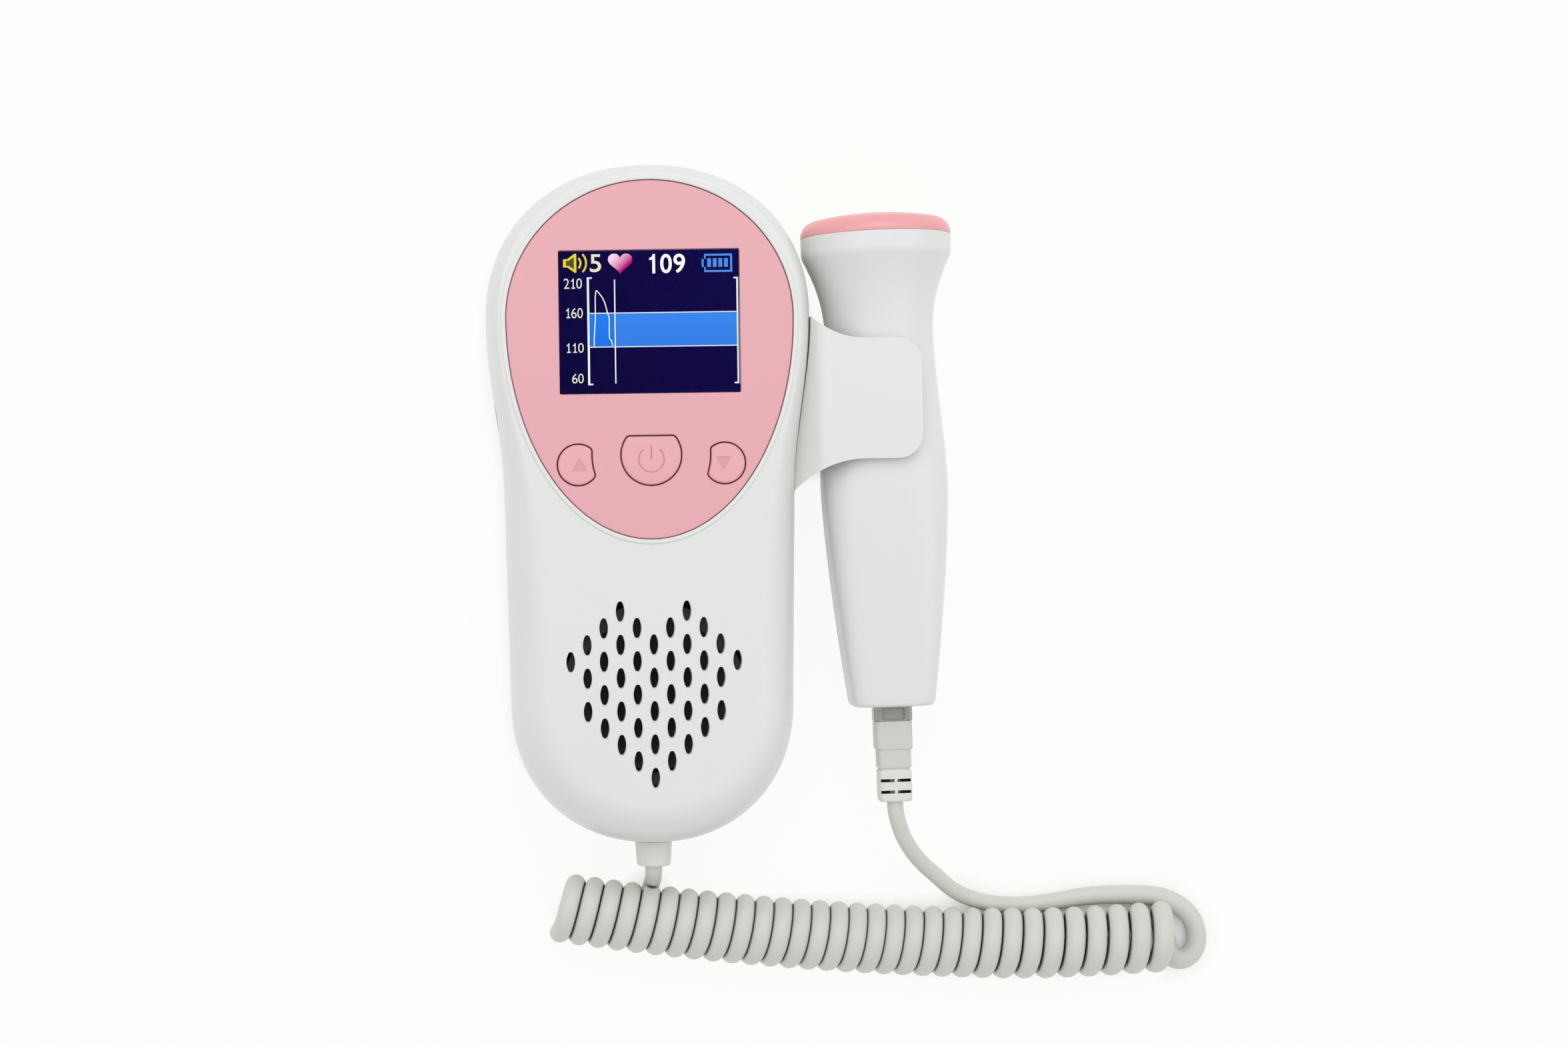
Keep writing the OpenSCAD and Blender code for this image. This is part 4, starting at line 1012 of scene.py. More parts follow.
@dataclass(frozen=True)
class Probe:
    """Place and sizes of the probe, in its own frame: the cord end at zero and the cap towards +Y."""

    place: tuple[float, float, float] = (48.3, -41.0, 16.0)
    lean: float = 1.22
    rim: float = 94.25
    belly: float = 44.0
    neck: float = 75.5
    head: float = 90.4
    head_r: float = 15.0
    widths: tuple[float, float, float] = (8.3, 12.55, 10.85)
    thicks: tuple[float, float, float] = (7.4, 10.8, 10.4)
    tail_power: float = 4.4
    head_round: float = 0.45
    boot_end: float = -19.3

    @property
    def matrix(self) -> Matrix:
        """From the probe's frame to the shared one, in millimetres."""
        return Matrix.Translation(self.place) @ Matrix.Rotation(math.radians(self.lean), 4, "Z")

    def half(self, s: float, tail: float, belly: float, neck: float) -> float:
        """Half-size of the section at s, from its values at the tail, belly and neck."""
        if s < self.belly:
            return mix(tail, belly, 1 - (1 - s / self.belly) ** 1.35)
        if s < self.neck:
            return mix(belly, neck, float(smooth((s - self.belly) / (self.neck - self.belly))))
        cone = mix(neck, self.head_r, ((s - self.neck) / (self.head - self.neck)) ** 1.9)
        share = min(max(0.5 + (self.head_r - cone) / (2 * self.head_round), 0), 1)
        return mix(self.head_r, cone, share) - self.head_round * share * (1 - share)

    def section(self, s: float, inset: float, steps: int, start: float = 0, sweep: float = 360) -> list:
        """Points of the section at s: a rounded rectangle at the tail that turns to a circle at the head.

        Args:
            s: Distance from the cord end.
            inset: Distance inwards.
            steps: Steps over the sweep.
            start: First angle in degrees, from +Z towards -X.
            sweep: Angle that is covered.

        Returns:
            The points, both ends included unless the sweep is a full turn.
        """
        half_w, half_t = (self.half(s, *sizes) - inset for sizes in (self.widths, self.thicks))
        power = 2 / mix(self.tail_power, 2.0, float(smooth(s / self.neck)))
        points = []
        for k in range(steps + (sweep < 360)):
            a = math.radians(start + sweep * k / steps)
            sin, cos = (0.0 if abs(v) < 1e-9 else v for v in (math.sin(a), math.cos(a)))
            x, z = (math.copysign(abs(v) ** power, v) for v in (sin, cos))
            points.append((-half_w * x, s, half_t * z))
        return points


class Assembly(ABC):
    """One sub-assembly of the monitor, built piece by piece."""

    @abstractmethod
    def build(self) -> None:
        """Builds, dresses and places every piece of the sub-assembly."""


@dataclass
class CurlyCord(Assembly):
    """The cord in three pieces: tail and curls on the monitor, a run from the last curl, and the plug's end."""

    coil: Coil = field(default_factory=Coil)
    probe: Probe = field(default_factory=Probe)
    tail_r: float = 1.72
    curl_r: float = 1.99
    open_curl_r: float = 2.11
    plug_r: float = 1.62
    curl_steps: int = 30
    sides: int = 16
    gland_end: tuple[float, float, float] = (0.0, -72.6, 16.0)
    plug_run: float = 31.5
    entry: tuple[float, float, float] = (0.9, 1.0, -3.2)
    coil_run: float = 3.3
    overlap: float = 1.6
    in_boot: float = 5.5
    step: float = 0.9
    leads: list[tuple[Piece, list[tuple[float, ...]]]] = field(default_factory=list)

    def build(self) -> None:
        """Builds the three pieces: the tail and curls, and the lead's two."""
        self.build_coil()
        self.build_lead()

    @property
    def coil_end(self) -> Vector:
        """Point a little past the last curl, where the lead takes over."""
        return self.coil.at(self.coil.curls) + self.coil_run * self.coil.way(self.coil.curls)

    def build_coil(self) -> None:
        """Draws the tail and the curls as one tube."""
        first = self.coil.first_turn
        entry = self.coil.at(first) + Vector(self.entry)
        gland = Vector(self.gland_end)
        tail = [gland + Vector((0, 2.6, 0)), gland, *map(Vector, TAIL_ROUTE), entry]
        tail_path = eased(tail, self.step)
        turns = self.coil.turns(self.curl_steps)
        path = [*tail_path, *turns, self.coil_end]
        swell = [mix(self.curl_r, self.open_curl_r, k / len(turns)) for k in range(len(turns))]
        thin = [mix(self.curl_r, self.tail_r, float(smooth(k / 12))) for k in reversed(range(len(tail_path)))]
        girth = thin + swell + [self.open_curl_r]
        path = self.rested(path, girth)
        piece = swept("curly_cord_and_tail", [path], [girth], self.sides, CORD_TPU)
        place(piece, Body.MONITOR, "cord", [CORD_TPU], ["cord_tail", "curly_cord"], sharp=60)

    def build_lead(self) -> None:
        """Draws the lead from the last curl to the plug, in a run and an end, left on no body."""
        end = self.coil_end
        plug_end = self.probe.matrix @ Vector((0, self.probe.boot_end, 0))
        into = self.probe.matrix @ Vector((0, self.probe.boot_end + self.in_boot, 0))
        floor = [Vector((end.x + x, end.y + y, z)) for x, y, z in reversed(FLOOR_ROUTE)]
        drop = [plug_end + Vector(p) for p in reversed(PLUG_ROUTE)]
        back = self.coil.way(self.coil.curls) * self.overlap
        path = eased([end - back, end, *floor, *drop, plug_end, into], self.step)
        girth = [mix(self.open_curl_r, self.plug_r, float(smooth(1.3 * k / len(path)))) for k in range(len(path))]
        path = self.rested(path, girth)
        left = np.cumsum([(b - a).length for a, b in pairwise(path)][::-1])
        cut = len(path) - 1 - int(np.searchsorted(left, self.plug_run))
        turn, tip = tuple(path[cut] * MM), tuple((plug_end + Vector(PLUG_ROUTE[0])) * MM)
        for name, span, start, last_point, bodies in (
            ("cord_lead_run", slice(0, cut + 1), (0.109, -0.083, 0.0017), turn, (Body.MONITOR, Body.PROBE)),
            ("cord_lead_end", slice(cut, None), turn, tip, (Body.PROBE, Body.PLUG)),
        ):
            piece = swept(name, [path[span]], [girth[span]], self.sides, CORD_TPU)
            place(piece, None, "cord", [CORD_TPU], sharp=60)
            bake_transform(piece)
            self.leads.append((piece, [tuple(p * MM) for p in path[span]]))
        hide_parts("cord_lead")

    @staticmethod
    def rested(path: Sequence[Vector], girth: Sequence[float]) -> list[Vector]:
        """Lifts a path where its tube would sink into the table."""
        return [Vector((p.x, p.y, max(p.z, g + 0.01))) for p, g in zip(path, girth)]

    def declare_lead(self, plug: Sequence[Piece]) -> None:
        """Does nothing: the lead's pieces are not declared here.

        Args:
            plug: The plug's pieces; not used.
        """


# ---- Housing ------------------------------------------------------------------------------------


# Turn a form that stands on Z to lie along +X, or along -Y.
ALONG_X = Matrix.Rotation(math.radians(90), 4, "Y")
DOWN_Y = Matrix.Rotation(math.radians(90), 4, "X")


def gland_hole() -> Form:
    """Bore through the lower wall that the cord's gland fills."""
    return Form().turned([(3.3, 64), (3.3, 69)], 48).set_at((0, 0, 16), DOWN_Y)


@dataclass(frozen=True)
class Keys:
    """Outlines and places of the three buttons."""

    power_r: float = 5.85
    power_flat: float = 3.67
    power_y: float = 9.62
    side_r: float = 3.95
    side_x: float = 14.37
    side_y: float = 7.85
    bite_r: float = 11.75
    corner: float = 0.8
    gap: float = 0.25

    def centre(self, side: int) -> tuple[float, float]:
        """Middle of the button on a side: -1, 0 or 1."""
        return (side * self.side_x, self.side_y if side else self.power_y)

    def outline(self, side: int, grow: float = 0.0) -> Flat:
        """Closed outline of a button about its own middle.

        Args:
            side: -1, 0 or 1.
            grow: Distance outwards.

        Returns:
            The points, anticlockwise.
        """
        return self.side_outline(side, grow) if side else self.power_outline(grow)

    def power_outline(self, grow: float) -> Flat:
        """Circle with a flat top and rounded corners."""
        low = self.power_flat - self.corner
        reach = math.sqrt((self.power_r - self.corner) ** 2 - low**2)
        lean = math.degrees(math.atan2(low, reach))
        turn = self.corner + grow
        rim = arc((0, 0), self.power_r + grow, 180 - lean, 360 + lean, 80)
        return [*rim[:-1], *arc((reach, low), turn, lean, 90, 8), *arc((-reach, low), turn, 90, 180 - lean, 8)[:-1]]

    def side_outline(self, side: int, grow: float) -> Flat:
        """Circle with a bite about the power button and rounded corners."""
        bite = Vector((-self.side_x, self.power_y - self.side_y))
        small, large = self.side_r - self.corner, self.bite_r + self.corner
        d = bite.length
        a = (small**2 - large**2 + d * d) / (2 * d)
        h = math.sqrt(small**2 - a * a)
        unit = bite / d
        across = Vector((-unit.y, unit.x))
        lower, upper = a * unit + h * across, a * unit - h * across
        turn = self.corner + grow
        out_low, out_up = heading(lower), heading(upper)
        in_low, in_up = heading(bite - lower), heading(bite - upper)
        rim = arc((0, 0), self.side_r + grow, out_low, out_up + 360 * (out_up < out_low), 60)
        first = arc(upper, turn, out_up, in_up + 360 * (in_up < out_up), 8)
        back_low, back_up = heading(upper - bite), heading(lower - bite)
        hollow = arc(bite, self.bite_r - grow, back_low, back_up - 360 * (back_up > back_low), 16)
        last = arc(lower, turn, in_low, out_low + 360 * (out_low < in_low), 8)
        points = [*rim[:-1], *first[:-1], *hollow[:-1], *last[:-1]]
        return points if side > 0 else [(-x, y) for x, y in reversed(points)]

    def hole(self, side: int, grow: float, z: float) -> list:
        """Ring of a button's hole at its place."""
        x, y = self.centre(side)
        return [(x + px, y + py, z) for px, py in self.outline(side, grow)]


@dataclass(frozen=True)
class Face:
    """Heights and plan of the front face: shell, panel and screen."""

    outline: BodyOutline = field(default_factory=BodyOutline)
    keys: Keys = field(default_factory=Keys)
    face_z: float = 31.0
    parting_z: float = 16.0
    ceiling_z: float = 28.4
    panel_z: float = 29.8
    lip_w: float = 0.9
    seam: float = 0.15
    panel_half_w: float = 28.1
    panel_up: float = 27.0
    panel_down: float = 43.3
    panel_y: float = 36.5
    screen_w: float = 35.3
    screen_h: float = 28.0
    screen_y: float = 35.8
    slot_w: float = 1.5
    slot_len: float = 3.8
    slot_pitch: float = 3.27
    slot_top: float = -21.0

    @property
    def rounding(self) -> np.ndarray:
        """Width of the front's rounded edge at each point of the outline."""
        return mix(9.0, 3.0, smooth((self.outline.edge[:, 1] + 22) / 50))

    def egg(self, grow: float, z: float, count: int = 144) -> list:
        """Ring of the egg-shaped panel, grown outwards."""
        ring = []
        for k in range(count):
            a = 2 * math.pi * k / count
            tall = self.panel_up if math.sin(a) >= 0 else self.panel_down
            ring.append(((self.panel_half_w + grow) * math.cos(a), self.panel_y + (tall + grow) * math.sin(a), z))
        return ring

    def screen(self, grow: float, z: float, corner: float = 0.3) -> list:
        """Ring of the screen's opening, grown outwards."""
        size = (self.screen_w + 2 * grow, self.screen_h + 2 * grow)
        return lifted(rounded_rect(*size, corner, 4, (0, self.screen_y)), z)

    def slot(self, grow: float) -> Flat:
        """Outline of a sound slot about its middle: two large arcs with small round ends."""
        end_r, side = self.slot_w * 0.28, self.slot_w / 2
        reach = self.slot_len / 2 - end_r
        arc_r = (reach**2 + side**2 - end_r**2) / (2 * (side - end_r))
        lean = math.degrees(math.atan2(reach, arc_r - side))
        right = arc((side - arc_r, 0), arc_r + grow, -lean, lean, 6)
        top = arc((0, reach), end_r + grow, lean, 180 - lean, 6)
        left = arc((arc_r - side, 0), arc_r + grow, 180 - lean, 180 + lean, 6)
        low = arc((0, -reach), end_r + grow, 180 + lean, 360 - lean, 6)
        return [*right[:-1], *top[:-1], *left[:-1], *low[:-1]]

    def openings(self, grow: float, z: float) -> list:
        """Rings of the screen's and the three buttons' openings, grown outwards."""
        keys = [self.keys.hole(side, self.keys.gap + grow, z) for side in (-1, 0, 1)]
        return [self.screen(0.1 + 0.6 * grow, z), *keys]

    @property
    def slot_cells(self) -> list[tuple[int, int, int]]:
        """Places of the slots in the heart, in steps of the pitch."""
        rows = [[2], [1, 3], [0, 2, 4], [1, 3, 5], [0, 2, 4], [1, 3], [0, 2, 4], [1, 3], [0, 2], [1], [0]]
        return [(s * c, -r, 0) for r, row in enumerate(rows) for c in row for s in ((1, -1) if c else (1,))]

    def slot_ring(self, cell: Place, grow: float, z: float) -> list:
        """Ring of one slot at its place."""
        x, y = cell[0] * self.slot_pitch, self.slot_top + cell[1] * self.slot_pitch
        return [(x + px, y + py, z) for px, py in self.slot(grow)]


@dataclass
class FrontHousing(Assembly):
    """Front shell with its lip, slots and rims, and the pink panel let into it."""

    face: Face = field(default_factory=Face)
    wall: float = 1.7
    front_rise: float = 12.0
    slot_play: float = 0.2
    chamfer: float = 0.16

    def build(self) -> None:
        """Builds the shell, the slots' rims and the panel."""
        self.build_shell()
        self.build_slot_rims()
        self.build_panel()

    def build_shell(self) -> None:
        """Lofts the shell's outside and inside and joins them round every opening."""
        f, form = self.face, Form()
        o, turn_z, chamfer = f.outline, f.face_z - self.front_rise, self.chamfer
        outer = [o.ring(chamfer, f.parting_z), o.ring(0, f.parting_z + chamfer), o.ring(0, turn_z)]
        outer = form.tube([*outer, *o.over(0, turn_z, f.face_z, f.rounding)])
        inner = [o.ring(self.wall, f.parting_z), o.ring(self.wall, turn_z)]
        inner = form.tube([*inner, *o.over(self.wall, turn_z, f.ceiling_z, f.rounding, 10)])
        form.band(outer[0], inner[0])
        high, low = f.seam + f.lip_w, f.seam
        lip = [
            (high, 0.0), (high, 0.12), (high - 0.05, 0.22), (high - 0.15, 0.285), (high - 0.27, 0.3), (low + 0.27, 0.3),
            (low + 0.13, 0.27), (low + 0.03, 0.18), (low, 0.05), (low, f.panel_z - f.face_z),
        ]
        lip = form.tube(f.egg(grow, f.face_z + h) for grow, h in lip)
        slots = [form.tube(f.slot_ring(c, self.slot_play, z) for z in (f.face_z, f.ceiling_z)) for c in f.slot_cells]
        holes = [form.tube(pair) for pair in zip(f.openings(0, f.panel_z), f.openings(0, f.ceiling_z))]
        form.plate(outer[-1], [lip[0], *[s[0] for s in slots]])
        form.plate(lip[-1], [h[0] for h in holes])
        form.plate(inner[-1], [h[1] for h in holes] + [s[1] for s in slots])
        shell = form.solid("front_shell_moulded")
        jack = Form().turned([(3.0, -34), (3.0, -25)], 48).set_at((0, 18, 20), ALONG_X)
        combine(shell, [jack, gland_hole()])
        place(shell, Body.MONITOR, "shell", [SHELL_ABS], ["front_shell"])

    def build_slot_rims(self) -> None:
        """Sets a moulded rim in every slot of the heart."""
        f, form = self.face, Form()
        foot = f.ceiling_z - f.face_z + 0.1
        steps = [
            (0.34, -0.5), (0.34, 0.0), (0.315, 0.045), (0.26, 0.07), (0.18, 0.065), (0.12, 0.0), (0.09, -0.12),
            (0.09, foot), (0.28, foot),
        ]
        form.tube([lifted(f.slot(g), h) for g, h in steps], endless=True)
        spot = (0, f.slot_top, f.face_z)
        rims = repeated("slot_rims", form.solid("slot_rim"), f.slot_cells, f.slot_pitch, spot, SHELL_ABS)
        place(rims, Body.MONITOR, "shell", [SHELL_ABS])

    def build_panel(self) -> None:
        """Builds the panel with rounded edges and openings."""
        f, form, top = self.face, Form(), self.face.face_z
        edge = [(0, f.panel_z), (0, top - 0.25), (-0.05, top - 0.1), (-0.14, top - 0.02), (-0.26, top)]
        outer = form.tube(f.egg(grow, z) for grow, z in edge)
        lip = [(0.0, f.panel_z), (0.0, top - 0.2), (0.04, top - 0.09), (0.11, top - 0.02), (0.2, top)]
        mouths = [form.tube(rings) for rings in zip(*[f.openings(grow, z) for grow, z in lip])]
        for end in (-1, 0):
            form.plate(outer[end], [m[end] for m in mouths])
        place(form.solid("front_panel_moulded"), Body.MONITOR, "panel", [PANEL_PC], ["front_panel"])


@dataclass
class RearHousing(Assembly):
    """Rear shell with its battery well, and what closes or fills it."""

    outline: BodyOutline = field(default_factory=BodyOutline)
    top_z: float = 16.0
    turn_z: float = 11.0
    edge_w: float = 4.5
    wall: float = 2.0
    cover_z: float = 0.3
    cover_t: float = 1.6
    hinge_y: float = -4.5
    hinge_z: float = 1.1
    bead_r: float = 0.8
    bead_gap: float = 0.06
    cover_gap: float = 0.3
    well_half_w: float = 16.2
    well_top: float = -6.0
    well_low: float = -55.5
    well_z: float = 12.9
    well_blocks: tuple[tuple[float, ...], ...] = ((19.3, -58.8, -1.9, -1.0, 3.5), (17.7, -57.0, -4.5, -1.5, 14.4))
    cover_half_w: float = 17.5
    cover_low: float = -57.0
    cell_r: float = 5.2
    cell_len: float = 44.5
    cell_pitch: float = 10.7
    cell_z: float = 7.4
    spring_len: float = 4.2
    wire_r: float = 0.25
    plate_t: float = 0.4
    chamfer: float = 0.16
    tower_r: float = 4.0
    scoop_r: float = 9.0
    hooks: tuple[float, ...] = (-9.0, 9.0)
    hook_half_w: float = 1.5
    grip_pitch: float = 1.6
    grip_grooves: int = 6
    towers: tuple[tuple[float, float], ...] = ((15.0, 57.0), (-15.0, 57.0), (21.4, -36.0), (-21.4, -36.0))

    def build(self) -> None:
        """Builds the shell, screws, cover, cells and springs."""
        self.build_shell()
        self.build_screws()
        self.build_cover()
        self.build_cells()
        self.build_springs()

    def bowl(self, rims: Flat, inset: float, low: float) -> Form:
        """Solid inside the shell's outline, rounded at the back.

        Args:
            rims: Inset and height of each ring down to the side.
            inset: Distance inwards from the outside, below the rims.
            low: Height of its floor.

        Returns:
            A closed form.
        """
        o = self.outline
        rings = [*[o.ring(*rim) for rim in rims], o.ring(inset, self.turn_z)]
        return Form().loft([*rings, *o.over(inset, self.turn_z, low, self.edge_w)])

    def build_shell(self) -> None:
        """Hollows the bowl round its towers and well, and cuts every opening."""
        rims = [(self.chamfer, self.top_z), (0, self.top_z - self.chamfer)]
        shell = self.bowl(rims, 0, 0).solid("rear_shell_moulded")
        cavity = self.bowl([(self.wall, self.top_z + 1)], self.wall, self.wall).solid("rear_cavity")
        blocks = [Form().bar((-x, low, bottom), (x, high, top)) for x, low, high, bottom, top in self.well_blocks]
        towers = Form()
        for x, y in self.towers:
            towers.prism(circle(self.tower_r, 40, (x, y)), -2, 18)
        combine(cavity, [*blocks, towers])
        combine(shell, [cavity])
        gap, y, z, seat_r = self.cover_gap, self.hinge_y, self.hinge_z, self.bead_r + self.bead_gap
        side = self.cover_half_w + gap
        recess = Form().bar((-side, self.cover_low - gap, -1), (side, y, self.cover_z + self.cover_t + 0.1))
        seat = Form().turned([(seat_r, -side), (seat_r, side)], 40).set_at((0, y, z), ALONG_X)
        mouth = Form().bar((-side, y - 1, -1), (side, y + seat_r, z))
        cells = Form().bar((-self.well_half_w, self.well_low, -1), (self.well_half_w, self.well_top, self.well_z))
        hooks = Form()
        for x in self.hooks:
            reach = self.hook_half_w + gap
            hooks.bar((x - reach, self.well_top - 1, 1.8), (x + reach, y + 3, z + 3.5))
        ball = arc((0, 0), self.scoop_r, -88, 88, 44)
        scoop = Form().turned(ball, 64).set_at((0, self.cover_low - 0.5, -7.6))
        bores = Form()
        steps = [(3.15, -1), (3.15, 0.0), (2.9, 0.25), (2.9, 11.0), (1.55, 11.0), (1.55, 17.4)]
        for x, y in self.towers:
            bores.loft([lifted(circle(r, 40, (x, y)), z) for r, z in steps])
        combine(shell, [recess, seat, mouth, cells, hooks, scoop, bores, gland_hole()])
        place(shell, Body.MONITOR, "shell", [SHELL_ABS], ["rear_shell"])

    def build_screws(self) -> None:
        """Sets the four case screws through the repeat tree."""
        steps = [(2.2, 9.0), (2.5, 9.15), (2.6, 9.5), (2.6, 11.0), (1.25, 11.0), (1.25, 21.4), (0.9, 22.0)]
        screw = Form().turned(steps, 40).solid("screw")
        combine(screw, [Form().bar((-x, -y, 8), (x, y, 10.0)) for x, y in ((1.5, 0.35), (0.35, 1.5))])
        soften(screw, 0.08, 2)
        screws = repeated("case_screws_set", screw, [(x, y, 0) for x, y in self.towers], 1, (0, 0, 0), SCREW_STEEL)
        place(screws, Body.MONITOR, "steel", [SCREW_STEEL], ["case_screws"])

    def build_cover(self) -> None:
        """Builds the battery cover with its bead, hooks, latch and grip."""
        low, high, side, y = self.cover_z, self.cover_z + self.cover_t, self.cover_half_w, self.hinge_y
        cover = Form().bar((-side, self.cover_low, low), (side, y, high)).solid("battery_cover_moulded")
        groove = Form().bar((-6, 0, -0.5), (6, 0.7, 0.3)).solid("groove")
        spot = (0, self.cover_low + 3, low)
        rows = [(0, k, 0) for k in range(self.grip_grooves)]
        combine(cover, [repeated("grip", groove, rows, self.grip_pitch, spot, SHELL_ABS)])
        bead = Form().turned([(self.bead_r, -side), (self.bead_r, side)], 40).set_at((0, y, self.hinge_z), ALONG_X)
        latch_y = self.well_low + 0.4
        parts = [bead, Form().bar((-3, latch_y, high - 0.2), (3, latch_y + 1.0, self.cell_z - 2.8))]
        parts.append(Form().bar((-3, latch_y - 0.15, high + 1.2), (3, latch_y + 0.5, high + 2.1)))
        for x in self.hooks:
            left, right = x - self.hook_half_w, x + self.hook_half_w
            parts.append(Form().bar((left, y - 1.4, high - 0.2), (right, y - 0.2, high + 1.4)))
            parts.append(Form().bar((left, y - 1.4, high + 0.3), (right, y + 2.2, high + 1.4)))
        combine(cover, parts, Cut.JOINED)
        soften(cover, 0.16, 2, 50)
        place(cover, Body.COVER, "shell", [SHELL_ABS], ["battery_cover"])

    def cell(self) -> Form:
        """One cell that stands on Z with its button down: a sleeve with nickel ends."""
        r, length = self.cell_r, self.cell_len
        sleeve = [(3.9, 1.25), (4.6, 1.2), (5.0, 1.3), (r, 1.6), (r, length - 0.4), (5.0, length - 0.1), (4.5, length)]
        form = Form().turned([(0.5, 0), (1.7, 0), (1.9, 0.2), (1.9, 1.5)], 48, 1).turned(sleeve, 48)
        return form.turned([(4.45, 1.22), (4.45, 1.45)], 48, 1).turned([(4.4, length - 0.3), (4.4, length)], 48, 1)

    def build_cells(self) -> None:
        """Lays the three cells, each the other way up from its neighbour."""
        form = Form()
        for k, up in enumerate((True, False, True)):
            y = self.well_low + self.plate_t + (self.spring_len + self.cell_len if up else 0)
            turn = Matrix.Rotation(math.radians(90 if up else -90), 4, "X")
            form.add(self.cell().set_at(((k - 1) * self.cell_pitch, y, self.cell_z), turn))
        place(form.solid("battery_cells_sleeved"), Body.MONITOR, "cells", [CELL_SLEEVE, SCREW_STEEL], ["battery_cells"])

    def build_springs(self) -> None:
        """Winds the three conical contact springs."""
        count, steps = 5, 20
        turns = [(2 * math.pi * i / steps, i / (count * steps)) for i in range(count * steps + 1)]
        paths = []
        for k, up in enumerate((True, False, True)):
            foot = self.well_low + self.plate_t if up else self.well_top - self.plate_t
            path = []
            for t, share in turns:
                rise, radius = 0.3 + (self.spring_len - 0.6) * share, mix(2.25, 1.5, share)
                x, z = (k - 1) * self.cell_pitch + radius * math.cos(t), self.cell_z + radius * math.sin(t)
                path.append(Vector((x, foot + (rise if up else -rise), z)))
            paths.append(path)
        springs = swept("contact_springs_wound", paths, [[self.wire_r] * len(turns)] * 3, 8, SCREW_STEEL)
        place(springs, Body.MONITOR, "steel", [SCREW_STEEL], ["battery_springs"], sharp=60)


# ---- Keys and screen ----------------------------------------------------------------------------


@dataclass
class KeyPad(Assembly):
    """The three buttons, crowned and engraved."""

    keys: Keys = field(default_factory=Keys)
    top_z: float = 31.35
    crown_r: float = 70.0
    flange_z: float = 28.3
    flange_t: float = 0.9
    flange_w: float = 0.9
    nub_z: float = 27.15
    nub_r: float = 1.4
    depth: float = 0.14

    def build(self) -> None:
        """Builds each button on its own body."""
        for side, name, body in ((0, "power", Body.POWER), (-1, "up", Body.UP), (1, "down", Body.DOWN)):
            key = self.cap(side).solid(f"{name}_button_moulded")
            key.data.materials.append(KEY_RUBBER.material())
            symbol, ink = (self.arrow(-side), ARROW_PRINT) if side else (self.power_symbol(), KEY_PRINT)
            combine(key, [Form().prism(s, self.top_z - self.depth, self.top_z + 1) for s in symbol], Cut.AWAY, ink)
            place(key, body, "panel", [KEY_RUBBER, ink], [f"{name}_button"])

    def crown(self, side: int, x: float, y: float) -> float:
        """Height of the crowned top at a point."""
        cx, cy = self.keys.centre(side)
        return self.top_z - self.crown_r + math.sqrt(self.crown_r**2 - (x - cx) ** 2 - (y - cy) ** 2)

    def cap(self, side: int) -> Form:
        """Cap with its nub, flange, rounded edge and crown.

        Args:
            side: -1, 0 or 1.

        Returns:
            A closed form.
        """
        form, k = Form(), self.keys
        cx, cy = k.centre(side)
        flange_low = self.flange_z - self.flange_t
        nub = circle(self.nub_r, len(k.outline(side)), (cx, cy))
        rings = [lifted(nub, self.nub_z), lifted(nub, flange_low)]
        for grow, z in [(self.flange_w, flange_low), (self.flange_w, self.flange_z), (0, self.flange_z)]:
            rings.append(k.hole(side, grow, z))
        for grow, drop in [(0, 0.5), (-0.03, 0.33), (-0.1, 0.18), (-0.21, 0.07), (-0.36, 0.012)]:
            rings.append([(x, y, self.crown(side, x, y) - drop) for x, y, _ in k.hole(side, grow, 0)])
        last = k.hole(side, -0.45, 0)
        for share in (1, 0.86, 0.72, 0.58, 0.44, 0.3, 0.16, 0.05):
            spots = [(cx + (x - cx) * share, cy + (y - cy) * share) for x, y, _ in last]
            rings.append([(x, y, self.crown(side, x, y)) for x, y in spots])
        return form.loft(rings)

    def power_symbol(self) -> list[Flat]:
        """Open ring and bar of the power symbol."""
        middle, out, inside = (0, 8.75), 2.62, 2.36
        ring = arc(middle, out, 130, 410, 48) + arc(middle, inside, 410, 130, 48)
        return [ring, rounded_rect(out - inside + 0.01, 2.75, 0.13, 3, (0, 10.15))]

    def arrow(self, way: int) -> list[Flat]:
        """Triangle with blunt corners, pointing up or down.

        Args:
            way: 1 for up and -1 for down.

        Returns:
            One outline.
        """
        cx, cy = self.keys.centre(-way)
        cx += 0.25 * way
        corners = [Vector((0, 1.38)), Vector((-1.53, -1.24)), Vector((1.53, -1.24))]
        points: Flat = []
        for k, c in enumerate(corners):
            before, after = (corners[k - 1] - c).normalized(), (corners[(k + 1) % 3] - c).normalized()
            points += [tuple(c + before * 0.25), tuple(c + (before + after) * 0.09), tuple(c + after * 0.25)]
        return [[(cx + x, cy + way * y) for x, y in points]]


